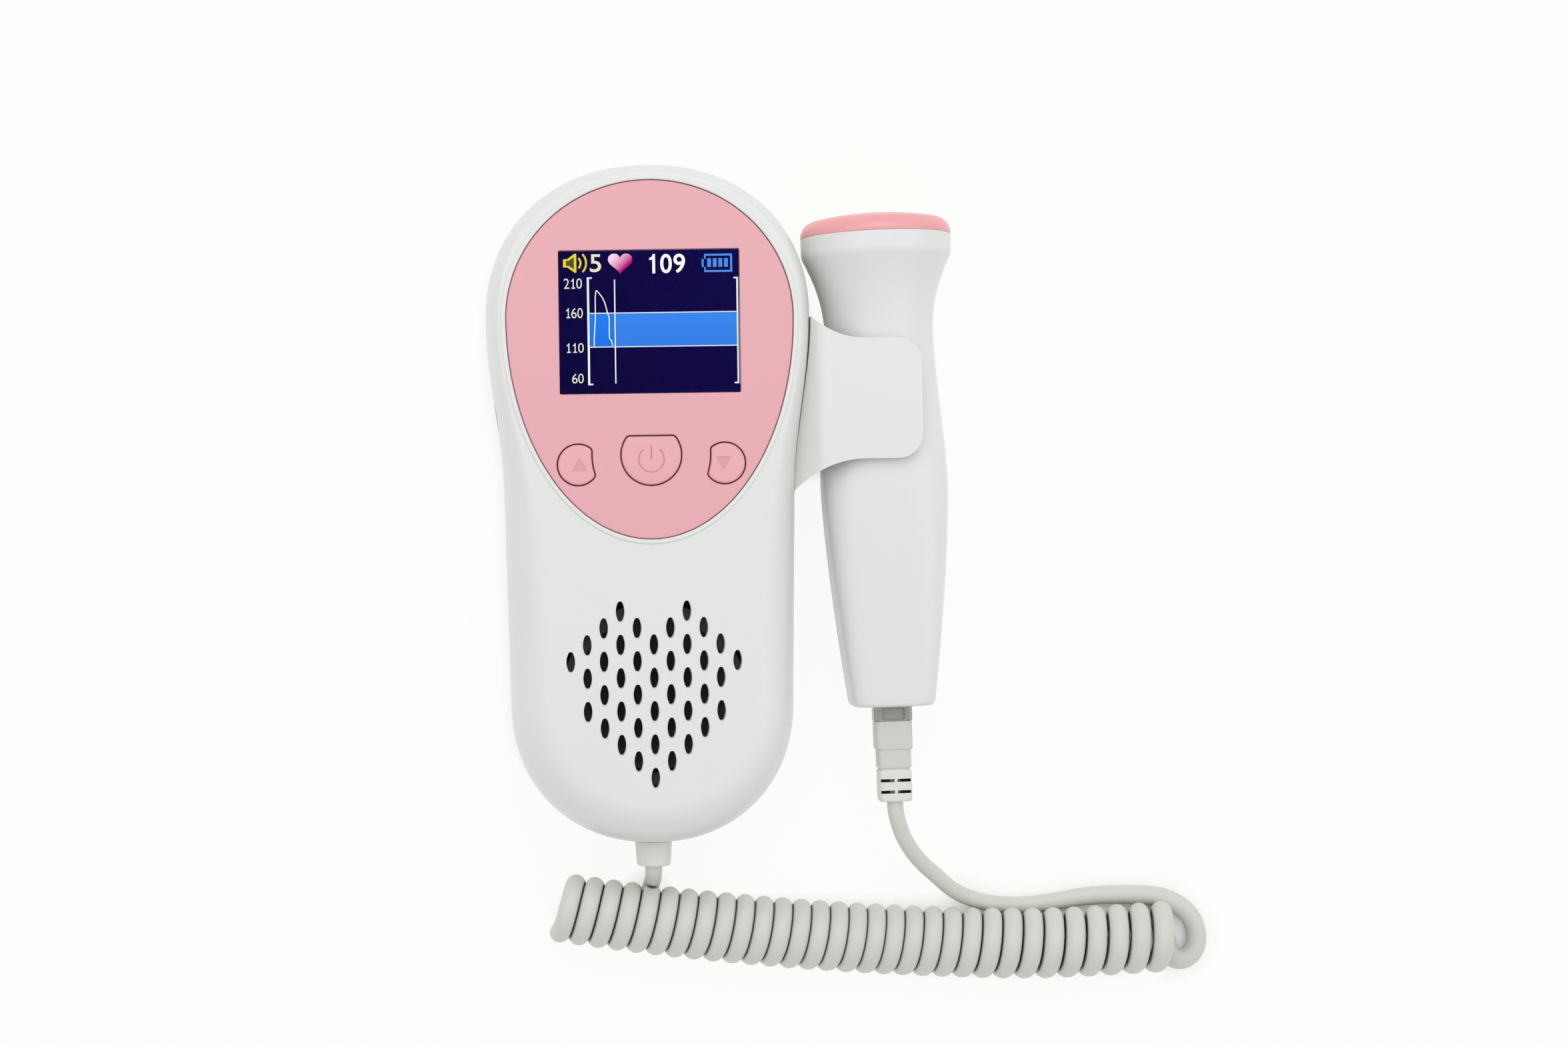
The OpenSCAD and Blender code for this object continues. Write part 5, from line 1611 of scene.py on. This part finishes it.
@dataclass
class Screen(Assembly):
    """The lit picture on the display and the clear window over it."""

    face: Face = field(default_factory=Face)
    picture_z: float = 29.42
    layer: float = 0.025

    @property
    def left(self) -> float:
        """Left edge of the picture."""
        return -self.face.screen_w / 2

    @property
    def low(self) -> float:
        """Lower edge of the picture."""
        return self.face.screen_y - self.face.screen_h / 2

    def build(self) -> None:
        """Builds the picture from its lowest layer up, then the window."""
        self.build_ground()
        self.build_lines()
        self.build_symbols()
        self.build_numbers()
        self.build_window()

    def spot(self, u: float, v: float) -> tuple[float, float]:
        """Point of the picture, right and up from its lower left corner."""
        return (self.left + u, self.low + v)

    def sheet(self, name: str, shapes: Sequence[Flat], level: int, finish: Finish) -> Piece:
        """Lays flat shapes, given in the picture's own place, on one layer.

        Args:
            name: Name of the piece.
            shapes: Closed outlines, in the picture's u and v.
            level: Number of the layer.
            finish: What lights them.

        Returns:
            The piece.
        """
        form = Form()
        for shape in shapes:
            form.plate(form.ring(lifted([self.spot(*p) for p in shape], self.picture_z + level * self.layer)))
        piece = form.solid(name, closed=False)
        self.face_up(piece)
        return place(piece, Body.MONITOR, "display", [finish])

    @staticmethod
    def face_up(piece: Piece) -> None:
        """Turns every face of a flat piece upwards."""
        with edited(piece) as made:
            made.normal_update()
            bmesh.ops.reverse_faces(made, faces=[f for f in made.faces if f.normal.z < 0])

    def lit(self, name: str, colour: str, other: str = "", start: Place = (0, 0), end: Place = (0, 1)) -> LitPixels:
        """Lit finish of one colour, or of one that runs to another between two points of the picture."""
        return LitPixels(f"display_lit_{name}", colour, other, self.spot(*start), self.spot(*end))

    def build_ground(self) -> None:
        """Lays the navy ground and the blue band."""
        w, h = self.face.screen_w, self.face.screen_h
        for level, name, box, finish in (
            (0, "ground", (0, 0, w, h), self.lit("navy", "#0a0339", "#0d0547", (0, 0), (w, h))),
            (1, "band_past", (5.95, 9.2, 10.8, 15.8), self.lit("azure", "#1b74ea", "#2a80ee", (6, 9), (6, 16))),
            (1, "band", (11.1, 9.2, 34.85, 15.8), self.lit("blue", "#377fe6", "#3a8af0", (11, 9), (11, 16))),
        ):
            self.sheet(f"picture_{name}", [block(*box)], level, finish)

    def build_lines(self) -> None:
        """Draws the axes, limits, cursor and trace."""
        boxes = [
            (5.5, 1.7, 5.92, 22.9), (5.92, 22.6, 6.5, 22.9), (5.92, 1.7, 6.5, 2.0), (34.85, 1.7, 35.15, 22.6),
            (34.3, 22.3, 34.85, 22.6), (34.3, 1.7, 34.85, 2.0), (10.82, 2.0, 11.06, 22.4), (5.92, 15.72, 34.85, 15.9),
            (5.92, 9.08, 34.85, 9.26),
        ]
        self.sheet("picture_axes", [block(*box) for box in boxes], 2, self.lit("white", "#eef4f2"))
        trace = [
            (6.8, 9.3), (6.8, 10.8), (7.1, 14.9), (7.1, 18.9), (7.3, 20.3), (7.5, 20.2), (8.45, 19.0), (9.0, 17.8),
            (9.4, 16.2), (9.8, 14.9), (9.8, 10.8), (10.2, 10.4), (10.4, 9.45),
        ]
        self.sheet("picture_trace", [self.stroke(trace, 0.2)], 3, self.lit("cream", "#f4f8ea"))

    @staticmethod
    def stroke(points: Flat, width: float) -> Flat:
        """Outline of a line of even width through points."""
        path = [Vector(p) for p in points]
        left, right = [], []
        for k, p in enumerate(path):
            way = (path[min(k + 1, len(path) - 1)] - path[max(k - 1, 0)]).normalized() * (width / 2)
            left.append((p.x - way.y, p.y + way.x))
            right.append((p.x + way.y, p.y - way.x))
        return left + right[::-1]

    def build_symbols(self) -> None:
        """Draws the horn, the heart and the battery."""
        horn = [(0.9, 24.9), (1.7, 24.9), (3.2, 23.8), (3.5, 23.9), (3.5, 27.5), (3.2, 27.6), (1.7, 26.5), (0.9, 26.5)]
        waves = [arc((2.9, 25.7), r, -44, 44, 10) + arc((2.9, 25.7), r - 0.38, 44, -44, 10) for r in (1.6, 2.7)]
        self.sheet("picture_horn", [horn, *waves], 3, self.lit("yellow", "#f2e23c", "#d9c437", (1, 27), (6, 23)))
        hole = [(1.45, 25.2), (2.0, 25.2), (3.0, 24.5), (3.0, 26.9), (2.0, 26.2), (1.45, 26.2)]
        self.sheet("picture_horn_hollow", [hole], 4, self.lit("olive", "#5a511f"))
        heart = []
        for k in range(64):
            t = 2 * math.pi * k / 64
            x = 16 * math.sin(t) ** 3
            y = 13 * math.cos(t) - 5 * math.cos(2 * t) - 2 * math.cos(3 * t) - math.cos(4 * t)
            heart.append((12.1 + x * 2.4 / 16, 25.8 + y * 2.05 / 14.5))
        rose = self.lit("rose", "#ffd9f1", "#c8197f", (10.9, 26.9), (12.9, 24.9))
        self.sheet("picture_heart", [heart], 3, rose)
        boxes = [
            (28.6, 23.6, 34.1, 24.0), (28.6, 26.8, 34.1, 27.2), (33.7, 24.0, 34.1, 26.8), (28.6, 24.0, 28.9, 24.6),
            (28.6, 26.2, 28.9, 26.8), (28.1, 24.6, 28.5, 26.2),
            *[(left, 24.6, left + 0.75, 26.3) for left in (29.2, 30.3, 31.4, 32.5)],
        ]
        self.sheet("picture_battery", [block(*box) for box in boxes], 3, self.lit("sky", "#4f8fe8"))

    def build_numbers(self) -> None:
        """Sets the rate, the volume and the scale's numbers."""
        self.number("109", (17.2, 23.5, 25.0, 27.3), 0.014, self.lit("bright", "#fdfdfb"))
        self.number("5", (6.0, 23.9, 8.5, 27.4), 0.008, self.lit("lemon", "#f0ecc0"))
        for text, box in (
            ("210", (0.9, 20.7, 4.6, 22.7)),
            ("160", (1.1, 14.9, 4.7, 16.9)),
            ("110", (1.1, 8.1, 4.8, 10.0)),
            ("60", (2.3, 2.1, 4.7, 4.0)),
        ):
            self.number(text, box, -0.004, self.lit("pale", "#e9ecdc"), foot=True)

    def number(
        self, text: str, box: tuple[float, float, float, float], weight: float, finish: Finish, foot: bool = False
    ) -> None:
        """Sets one number in a box of the picture, digit by digit.

        Args:
            text: Its digits.
            box: Left, lower, right and upper limits in the picture's u and v.
            weight: How far each stroke swells, in shares of the letter's height.
            finish: What lights it.
            foot: Whether each one stands on a foot.
        """
        form, step, tall = Form(), (box[2] - box[0]) / len(text), box[3] - box[1]
        for k, digit in enumerate(text):
            points, faces = (self.one(0.2 + 3 * weight, foot), []) if digit == "1" else self.glyph(digit, weight)
            spots = [self.spot(box[0] + (k + 0.06 + 0.88 * x) * step, box[1] + y * tall) for x, y in points]
            numbers = form.ring(lifted(spots, self.picture_z + 3 * self.layer))
            for face in faces:
                form.lid([numbers[i] for i in face])
            if not faces:
                form.plate(numbers)
        piece = form.solid(f"picture_number_{text}", closed=False)
        self.face_up(piece)
        place(piece, Body.MONITOR, "display", [finish])

    @staticmethod
    def one(stem: float, foot: bool) -> Flat:
        """Outline of a one with its flag, in a unit box.

        Args:
            stem: Width of the stem.
            foot: Whether it stands on a foot.

        Returns:
            The points, anticlockwise.
        """
        left, right = 0.58 - stem / 2, 0.58 + stem / 2
        base = [(0.25, 0), (0.92, 0), (0.92, 0.12), (right, 0.12)] if foot else [(left, 0), (right, 0)]
        flag = [(right, 1), (0.58 - stem * 0.3, 1), (0.42, 0.86), (0.2, 0.79), (0.2, 0.68), (left, 0.72)]
        return [*base, *flag, *([(left, 0.12), (0.25, 0.12)] if foot else [])]

    @staticmethod
    def glyph(digit: str, weight: float) -> tuple[Flat, list[tuple[int, ...]]]:
        """Points of a digit in a unit box, and its faces.

        Args:
            digit: The digit.
            weight: How far each stroke swells.

        Returns:
            The points and the faces' point numbers.
        """
        curve = bpy.data.curves.new("digits", "FONT")
        curve.body, curve.offset, curve.resolution_u, curve.fill_mode = digit, weight, 6, "BOTH"
        writing = bpy.data.objects.new("digits", curve)
        bpy.context.scene.collection.objects.link(writing)
        graph = bpy.context.evaluated_depsgraph_get()
        mesh = bpy.data.meshes.new_from_object(writing.evaluated_get(graph))
        points = np.array([v.co[:2] for v in mesh.vertices])
        faces = [tuple(p.vertices) for p in mesh.polygons]
        bpy.data.objects.remove(writing)
        bpy.data.meshes.remove(mesh)
        low, high = points.min(0), points.max(0)
        return [tuple(p) for p in (points - low) / (high - low)], faces

    def build_window(self) -> None:
        """Closes the screen with its clear window."""
        top, form = self.face.face_z, Form()
        steps = [(-0.05, self.picture_z + 0.13), (-0.05, top - 0.12), (-0.09, top - 0.04), (-0.17, top)]
        form.loft([self.face.screen(g, z) for g, z in steps])
        place(form.solid("screen_window_clear"), Body.MONITOR, "window", [WINDOW], ["screen_window"])


# ---- Fittings of the body -----------------------------------------------------------------------


@dataclass
class Fittings(Assembly):
    """Cord gland, headphone jack and the cradle on the body's side."""

    outline: BodyOutline = field(default_factory=BodyOutline)
    gland_y: float = -67.6
    jack_face: float = -30.05
    jack_y: float = 18.0
    jack_z: float = 20.0
    jack_block: tuple[float, float] = (17.3, 22.6)
    jack_half_w: float = 3.2
    cradle_back: float = 34.4
    cradle_in: float = 11.1
    cradle_t: float = 2.2
    cradle_reach: float = 53.5
    cradle_high: float = 32.2
    cradle_low: float = 8.4
    cradle_root: float = 27.0
    cradle_corner: float = 5.0
    fold_r: float = 3.2
    fold_angle: float = 140.0
    plan_corner: float = 4.8
    flare_r: tuple[float, float] = (18.0, 14.0)
    middle_z: float = 16.0

    def build(self) -> None:
        """Builds the three fittings."""
        self.build_gland()
        self.build_jack()
        self.build_cradle()

    def build_gland(self) -> None:
        """Turns the tapered gland, with its collar inside the wall."""
        profile = [
            (4.6, -4.05), (4.6, -2.55), (3.2, -2.55), (3.2, 0.06), (3.5, 0.06), (3.65, 0.14), (3.7, 0.3), (3.42, 4.55),
            (3.36, 4.8), (3.2, 4.94), (2.95, 5.0), (1.75, 5.0), (1.7, 4.6),
        ]
        form = Form().turned(profile, 72).set_at((0, self.gland_y, self.middle_z), DOWN_Y)
        place(form.solid("cord_gland_moulded"), Body.MONITOR, "moulding", [MOULD_PVC], ["cord_gland"])

    def build_jack(self) -> None:
        """Turns the jack's barrel, with a plated ring in its mouth and its block behind."""
        form, spot = Form(), (self.jack_face, self.jack_y, self.jack_z)
        barrel = [(2.1, 0.35), (2.1, 0.0), (2.75, 0.0), (2.9, 0.15), (2.9, 4.4), (1.8, 4.4), (1.8, 0.35)]
        sleeve = [(1.8, 0.1), (2.1, 0.1), (2.1, 0.5), (1.8, 0.5)]
        for paint, steps in enumerate((barrel, sleeve)):
            form.tube([lifted(circle(r, 48), h) for r, h in steps], paint, endless=True)
        jack = form.set_at(spot, ALONG_X).solid("headphone_jack_fitted")
        for finish in (BLACK_PBT, SCREW_STEEL):
            jack.data.materials.append(finish.material())
        x, y, _ = spot
        low, high, side = *self.jack_block, self.jack_half_w
        combine(jack, [Form().bar((x + 3.9, y - side, low), (x + 14, y + side, high))], Cut.JOINED)
        combine(jack, [Form().turned([(1.8, 3.0), (1.8, 12.5)], 48).set_at(spot, ALONG_X)])
        place(jack, Body.MONITOR, "dark_parts", [BLACK_PBT, SCREW_STEEL], ["headphone_jack"])

    def cradle_profile(self) -> Flat:
        """Section of the cradle, looking along the probe: a U whose back folds down into the body."""
        out, fold, angle, r = self.cradle_in + self.cradle_t, self.fold_r, self.fold_angle, self.cradle_corner
        upper = arc((self.cradle_back + 0.9, out - fold), fold, 90, angle, 12)
        root, deep, open_ = self.cradle_root, self.cradle_root - 7, self.cradle_reach + 6.5
        reach = (upper[-1][0] - root) / math.sin(math.radians(angle))
        foot = upper[-1][1] + reach * math.cos(math.radians(angle))
        lower = [(x, -y) for x, y in reversed(upper)]
        points = [(open_, out), *upper, (root, foot), (deep, foot), (deep, -foot), (root, -foot), *lower]
        points += [(open_, -out), (open_, -self.cradle_in)]
        inner = self.cradle_in - r
        points += arc((self.cradle_back + r, -inner), r, 270, 180, 14)
        points += arc((self.cradle_back + r, inner), r, 180, 90, 14)
        return [*points, (open_, self.cradle_in)]

    def cradle_plan(self) -> Flat:
        """The cradle from above: rounded free corners, and flares where it joins the body."""
        flare, corner, (low_r, high_r) = self.cradle_reach - 11.3, self.plan_corner, self.flare_r
        low, high, free = self.cradle_low, self.cradle_high, self.cradle_reach - corner
        points = [(self.cradle_root - 7, low - 7), *arc((flare, low - low_r), low_r, 142.33, 90, 18)]
        points += arc((free, low + corner), corner, 270, 360, 14)
        points += arc((free, high - corner), corner, 0, 90, 14)
        points += arc((flare, high + high_r), high_r, 270, 219.99, 18)
        return [*points, (self.cradle_root - 7, high + 5)]

    def build_cradle(self) -> None:
        """Cuts the cradle from its section and plan, and rounds every edge."""
        section = [(x, -z) for x, z in self.cradle_profile()]
        form = Form().prism(section, -50, 10).set_at((0, 0, self.middle_z), DOWN_Y)
        cradle = form.solid("probe_cradle_moulded")
        combine(cradle, [Form().prism(self.cradle_plan(), 0, 32)], Cut.COMMON)
        combine(cradle, [Form().loft([self.outline.ring(0.35, z) for z in (-1, 33)])])
        soften(cradle, 0.55, 3, 30)
        place(cradle, Body.MONITOR, "shell", [SHELL_ABS], ["probe_holder"], sharp=40)


# ---- Probe and plug -----------------------------------------------------------------------------


@dataclass
class ProbeHead(Assembly):
    """The probe: two shells and the cap over its crystals."""

    probe: Probe = field(default_factory=Probe)
    wall: float = 2.0
    end_wall: float = 2.2
    socket: tuple[float, float] = (7.9, 4.8)
    cap_h: float = 4.65
    cap_edge: float = 3.0
    cap_crown: float = 60.0

    def build(self) -> None:
        """Builds both shells and the cap."""
        self.build_shell(1, "probe_front_shell")
        self.build_shell(-1, "probe_rear_shell")
        self.build_cap()

    def stations(self) -> list[tuple[float, float]]:
        """Places along the probe with their insets: the tail's edge is rounded, the rim has a fine chamfer."""
        start = [(0.0, 0.95), (0.05, 0.62), (0.2, 0.32), (0.45, 0.12), (0.9, 0.0)]
        head = self.probe.head
        run = [(s, 0.0) for s in [*np.arange(3.0, head - 2.2, 1.9), *np.arange(head - 1.8, head + 2.2, 0.35)]]
        return [*start, *run, (self.probe.rim - 0.14, 0.0), (self.probe.rim, 0.14)]

    def build_shell(self, side: int, node: str) -> None:
        """Lofts one half, hollows it and cuts the socket's mouth.

        Args:
            side: 1 for the half towards the front and -1 for the other.
            node: The CAD node that it stands for.
        """
        rings = []
        for s, inset in self.stations():
            edge = self.probe.section(s, inset, 64, -90, 180)
            seam = [(edge[0][0] - 0.12, s, 0.0), (edge[-1][0] + 0.12, s, 0.0)]
            edge = [(x, y, max(z, 0.12)) if i in (0, 64) else (x, y, z) for i, (x, y, z) in enumerate(edge)]
            rings.append([(x, y, side * z) for x, y, z in [seam[0], *edge, seam[1]]])
        shell = Form().loft(rings).moved(self.probe.matrix).solid(f"{node}_moulded")
        depths = [self.end_wall, *np.arange(5, self.probe.rim, 3), self.probe.rim + 1]
        hollow = Form().loft(self.probe.section(s, self.wall, 64) for s in depths)
        mouth = rounded_rect(*self.socket, 0.5)
        mouth = Form().loft([(x, s, z) for x, z in mouth] for s in (-1, self.end_wall + 1))
        combine(shell, [cut.moved(self.probe.matrix) for cut in (hollow, mouth)])
        place(shell, Body.PROBE, "shell", [PROBE_ABS], [node])

    def build_cap(self) -> None:
        """Turns the cap: a chamfered foot, a rounded edge and a shallow crown."""
        r, edge, low = self.probe.head_r, self.cap_edge, self.cap_h - self.cap_crown
        rise = math.sqrt((self.cap_crown - edge) ** 2 - (r - edge) ** 2)
        top_angle = math.degrees(math.atan2(rise, r - edge))
        profile = [(11.0, 2.75), (11.0, 0.0), (r - 0.14, 0.0), (r, 0.14)]
        profile += arc((r - edge, low + rise), edge, 6, top_angle, 16)
        profile += [(x, low + math.sqrt(self.cap_crown**2 - x**2)) for x in (11.6, 10, 8, 6, 4, 2, 0.4)]
        upright = Matrix.Translation((0, self.probe.rim, 0)) @ Matrix.Rotation(math.radians(-90), 4, "X")
        cap = Form().turned(profile, 96).moved(self.probe.matrix @ upright).solid("probe_cap_moulded")
        place(cap, Body.PROBE, "cap", [CAP_TPU], ["probe_cap"], sharp=50)


@dataclass
class Plug(Assembly):
    """The probe's plug: steel shell, core, overmould and slotted boot."""

    probe: Probe = field(default_factory=Probe)
    width: float = 7.7
    thick: float = 4.6
    inside: float = 8.0
    show: float = 3.1
    steel_t: float = 0.4
    pieces: list[Piece] = field(default_factory=list)

    def build(self) -> None:
        """Builds the four pieces of the plug."""
        self.build_shell()
        self.build_core()
        self.build_overmould()
        self.build_boot()

    def bar(self, steps: Sequence[tuple[float, float, float]], radius: float) -> Form:
        """Bar of rounded sections along the probe's axis.

        Args:
            steps: Place, width and thickness of each section.
            radius: Radius of the corners.

        Returns:
            The bar in the shared frame.
        """
        rings = [[(x, s, z) for x, z in rounded_rect(w, t, radius)] for s, w, t in steps]
        return Form().loft(rings).moved(self.probe.matrix)

    def keep(self, piece: Piece, slot: str, finishes: Sequence[Finish], node: str) -> None:
        """Places a piece of the plug and remembers it for the cord."""
        self.pieces.append(place(piece, Body.PLUG, slot, finishes, [node], 40))

    def build_shell(self) -> None:
        """Builds the steel tube with the window pressed in its top."""
        w, t, wall = self.width, self.thick, self.steel_t
        steps = [
            (-self.show, w, t, 0.6), (self.inside - 0.3, w, t, 0.6), (self.inside, w - 0.3, t - 0.3, 0.5),
            (self.inside, w - 2 * wall, t - 2 * wall, 0.25), (-self.show, w - 2 * wall, t - 2 * wall, 0.25),
        ]
        form = Form()
        form.tube(([(x, s, z) for x, z in rounded_rect(*sizes)] for s, *sizes in steps), endless=True)
        shell = form.moved(self.probe.matrix).solid("plug_shell_drawn")
        window = rounded_rect(w - 3.2, self.show - 0.7, 0.35, 5, (0, -(self.show + 0.3) / 2))
        combine(shell, [Form().prism(window, 0.5, 4).moved(self.probe.matrix)])
        soften(shell, 0.08, 2)
        self.keep(shell, "steel", [PLUG_STEEL], "plug_shell")

    def build_core(self) -> None:
        """Builds the insulator that carries the contacts."""
        w, t = self.width - 2 * self.steel_t - 0.1, self.thick - 2 * self.steel_t - 0.1
        core = self.bar([(-self.show, w, t), (self.inside - 1.6, w, t), (self.inside - 1.5, w - 0.2, t - 0.2)], 0.2)
        self.keep(core.solid("plug_core_moulded"), "moulding", [GREY_PBT], "plug_core")

    def build_overmould(self) -> None:
        """Builds the wide grip and the narrower neck behind it."""
        s = -self.show
        steps = [
            (s, 6.9, 5.5), (s - 0.06, 7.15, 5.75), (s - 0.25, 7.35, 5.95), (s - 0.5, 7.4, 6.0), (s - 5.3, 7.4, 6.0),
            (s - 5.55, 7.32, 5.92), (s - 5.7, 7.1, 5.7), (s - 5.71, 6.7, 5.4), (s - 9.2, 6.7, 5.4),
            (s - 9.42, 6.62, 5.32), (s - 9.5, 6.4, 5.1),
        ]
        self.keep(self.bar(steps, 1.0).solid("plug_overmould"), "moulding", [GRIP_PVC], "plug_body")

    def build_boot(self) -> None:
        """Builds the bend relief with its two rows of slits on each face."""
        s = -self.show - 9.5
        steps = [
            (s + 0.3, 6.0, 4.7), (s - 0.4, 6.0, 4.7), (s - 0.41, 6.35, 5.3), (s - 0.6, 6.55, 5.52), (s - 0.8, 6.6, 5.6),
            (s - 6.1, 6.6, 5.6), (s - 6.45, 6.5, 5.5), (s - 6.65, 6.2, 5.2), (s - 6.7, 5.7, 4.7),
        ]
        boot = self.bar(steps, 1.0).solid("plug_boot_slotted")
        cuts = []
        for row, x, z in product((s - 2.4, s - 4.7), (-1.65, 1.65), (-2.8, 2.8)):
            slit = Form().bar((x - 1.35, row - 0.3, z - 1.6), (x + 1.35, row + 0.3, z + 1.6))
            cuts.append(slit.moved(self.probe.matrix))
        # The slits' floors take the near-black painted shade.
        combine(boot, cuts, Cut.AWAY, SLIT_SHADE_PAINT)
        self.keep(boot, "moulding", [MOULD_PVC, SLIT_SHADE_PAINT], "plug_boot")


# ---- Carried nodes and setting ------------------------------------------------------------------


@dataclass
class Insides(Assembly):
    """CAD nodes that keep their shape and get a real finish."""

    finishes: dict[str, Finish] = field(
        default_factory=lambda: {
            "display_module": SCREEN_BLACK,
            "main_board": BOARD,
            "board_parts": BLACK_PBT,
            "board_screws": SCREW_STEEL,
            "tact_switches": BLACK_PBT,
            "speaker_frame": BASKET_STEEL,
            "speaker_cone": CONE_PAPER,
            "speaker_magnet": BASKET_STEEL,
            "speaker_gasket": GASKET_FOAM,
            "battery_contacts": SCREW_STEEL,
            "piezo_crystals": CRYSTAL,
            "crystal_backing": BACKING,
            "crystal_leads": LEAD_RED,
            "probe_board": BOARD,
            "probe_socket": BLACK_PBT,
        }
    )

    def build(self) -> None:
        """Coats every carried node."""
        for name, finish in self.finishes.items():
            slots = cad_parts[name].data.materials
            slots.clear()
            slots.append(finish.material())
            LOG.info("%s: CAD shape, %s", name, finish.name)


# Near-white of the sweep and the room, as the camera sees them.
BACKDROP = "#fefffc"


@dataclass(frozen=True)
class FloorFinish(Finish):
    """Pale paper sweep: white where the camera looks at it, lit paper elsewhere, so it keeps shadows."""

    glow: float = 0.93
    reach: float = 4.5

    def shader(self, tree: Tree, spot: Socket) -> Socket:
        """Builds the sweep's nodes."""
        paper = add_node(tree, "ShaderNodeBsdfDiffuse", inputs={"Color": clouded(tree, spot, "#fbfcfa", 0.004, 90)})
        light = add_node(tree, "ShaderNodeEmission", inputs={"Color": linear(BACKDROP), "Strength": 1.0})
        path = add_node(tree, "ShaderNodeLightPath").outputs
        seen = maths(tree, "MAXIMUM", path["Is Camera Ray"], path["Is Glossy Ray"])
        seen = maths(tree, "MAXIMUM", seen, path["Is Transmission Ray"])
        open_ = add_node(tree, "ShaderNodeAmbientOcclusion", {"samples": 8}, {"Distance": self.reach * MM})
        share = maths(tree, "MULTIPLY", seen, maths(tree, "MULTIPLY", open_.outputs["AO"], self.glow))
        both = {0: share, 1: paper.outputs[0], 2: light.outputs[0]}
        return add_node(tree, "ShaderNodeMixShader", inputs=both).outputs[0]


@dataclass
class Studio:
    """Camera, soft lamps and pale floor."""

    eye: tuple[float, float, float] = (-0.0233, -0.0033, 0.566)
    turn: float = -0.8
    lens: float = 62.72
    shift: float = 376 / 2352
    sky: float = 0.7
    floor_half: float = 3000.0
    floor_z: float = -0.06

    def set_camera(self) -> None:
        """Sets the camera straight above, as the photograph was taken."""
        data = bpy.data.cameras.new("camera")
        data.lens, data.sensor_width, data.sensor_fit, data.shift_x = self.lens, 36.0, "HORIZONTAL", self.shift
        data.clip_start, data.clip_end = 0.01, 20.0
        camera = bpy.data.objects.new("camera", data)
        camera.location = self.eye
        camera.rotation_euler = (0, 0, math.radians(self.turn))
        bpy.context.scene.collection.objects.link(camera)
        bpy.context.scene.camera = camera

    def set_lamp(self, name: str, spot: Place, size: float, power: float) -> None:
        """Sets one square soft lamp that looks at the object.

        Args:
            name: Its name.
            spot: Its place in metres.
            size: Its side in metres.
            power: Its power in watts.
        """
        data = bpy.data.lights.new(name, "AREA")
        data.shape, data.size, data.energy = "SQUARE", size, power
        lamp = bpy.data.objects.new(name, data)
        lamp.location = spot
        lamp.rotation_euler = (Vector((0.02, -0.01, 0.01)) - Vector(spot)).to_track_quat("-Z", "Y").to_euler()
        bpy.context.scene.collection.objects.link(lamp)

    def set_light(self) -> None:
        """Sets the sky and the lamps at a level where colours render as written."""
        world = bpy.data.worlds.new("pale_room")
        world.use_nodes = True
        tree = world.node_tree
        tree.nodes.clear()
        path = add_node(tree, "ShaderNodeLightPath")
        room = add_node(tree, "ShaderNodeBackground", inputs={"Color": linear("#fbfcff"), "Strength": self.sky})
        white = add_node(tree, "ShaderNodeBackground", inputs={"Color": linear(BACKDROP), "Strength": 1.0})
        both = {0: path.outputs["Is Camera Ray"], 1: room.outputs[0], 2: white.outputs[0]}
        mixed = add_node(tree, "ShaderNodeMixShader", inputs=both)
        add_node(tree, "ShaderNodeOutputWorld", inputs={"Surface": mixed.outputs[0]})
        bpy.context.scene.world = world
        self.set_lamp("key", (0.05, 0.34, 0.56), 0.45, 1.0)
        self.set_lamp("left_fill", (-0.45, 0.2, 0.75), 0.6, 0.86)
        self.set_lamp("right_fill", (0.65, 0.0, 0.62), 0.6, 0.7)

    def set_floor(self) -> None:
        """Lays the floor just under the object."""
        form, half = Form(), self.floor_half
        form.lid(form.ring(lifted(block(-half, -half, half, half), self.floor_z)))
        floor = form.solid("floor", closed=False)
        floor.data.materials.append(FloorFinish("paper_pale_floor").material())
        bpy.context.scene.view_settings.view_transform = "Standard"


def main() -> None:
    """Builds the scene in order: camera and cords first, then the body, probe, plug and light."""
    logging.basicConfig(level=logging.INFO, format="%(name)s: %(message)s")
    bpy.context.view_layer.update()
    studio = Studio()
    studio.set_camera()
    cord = CurlyCord()
    cord.build()
    plug = Plug()
    parts: list[Assembly] = [FrontHousing(), RearHousing(), KeyPad(), Screen(), Fittings(), ProbeHead(), plug]
    parts.append(Insides())
    for part in parts:
        LOG.info("building %s", type(part).__name__)
        part.build()
    cord.declare_lead(plug.pieces)
    studio.set_light()
    studio.set_floor()


if __name__ == "__main__":
    main()
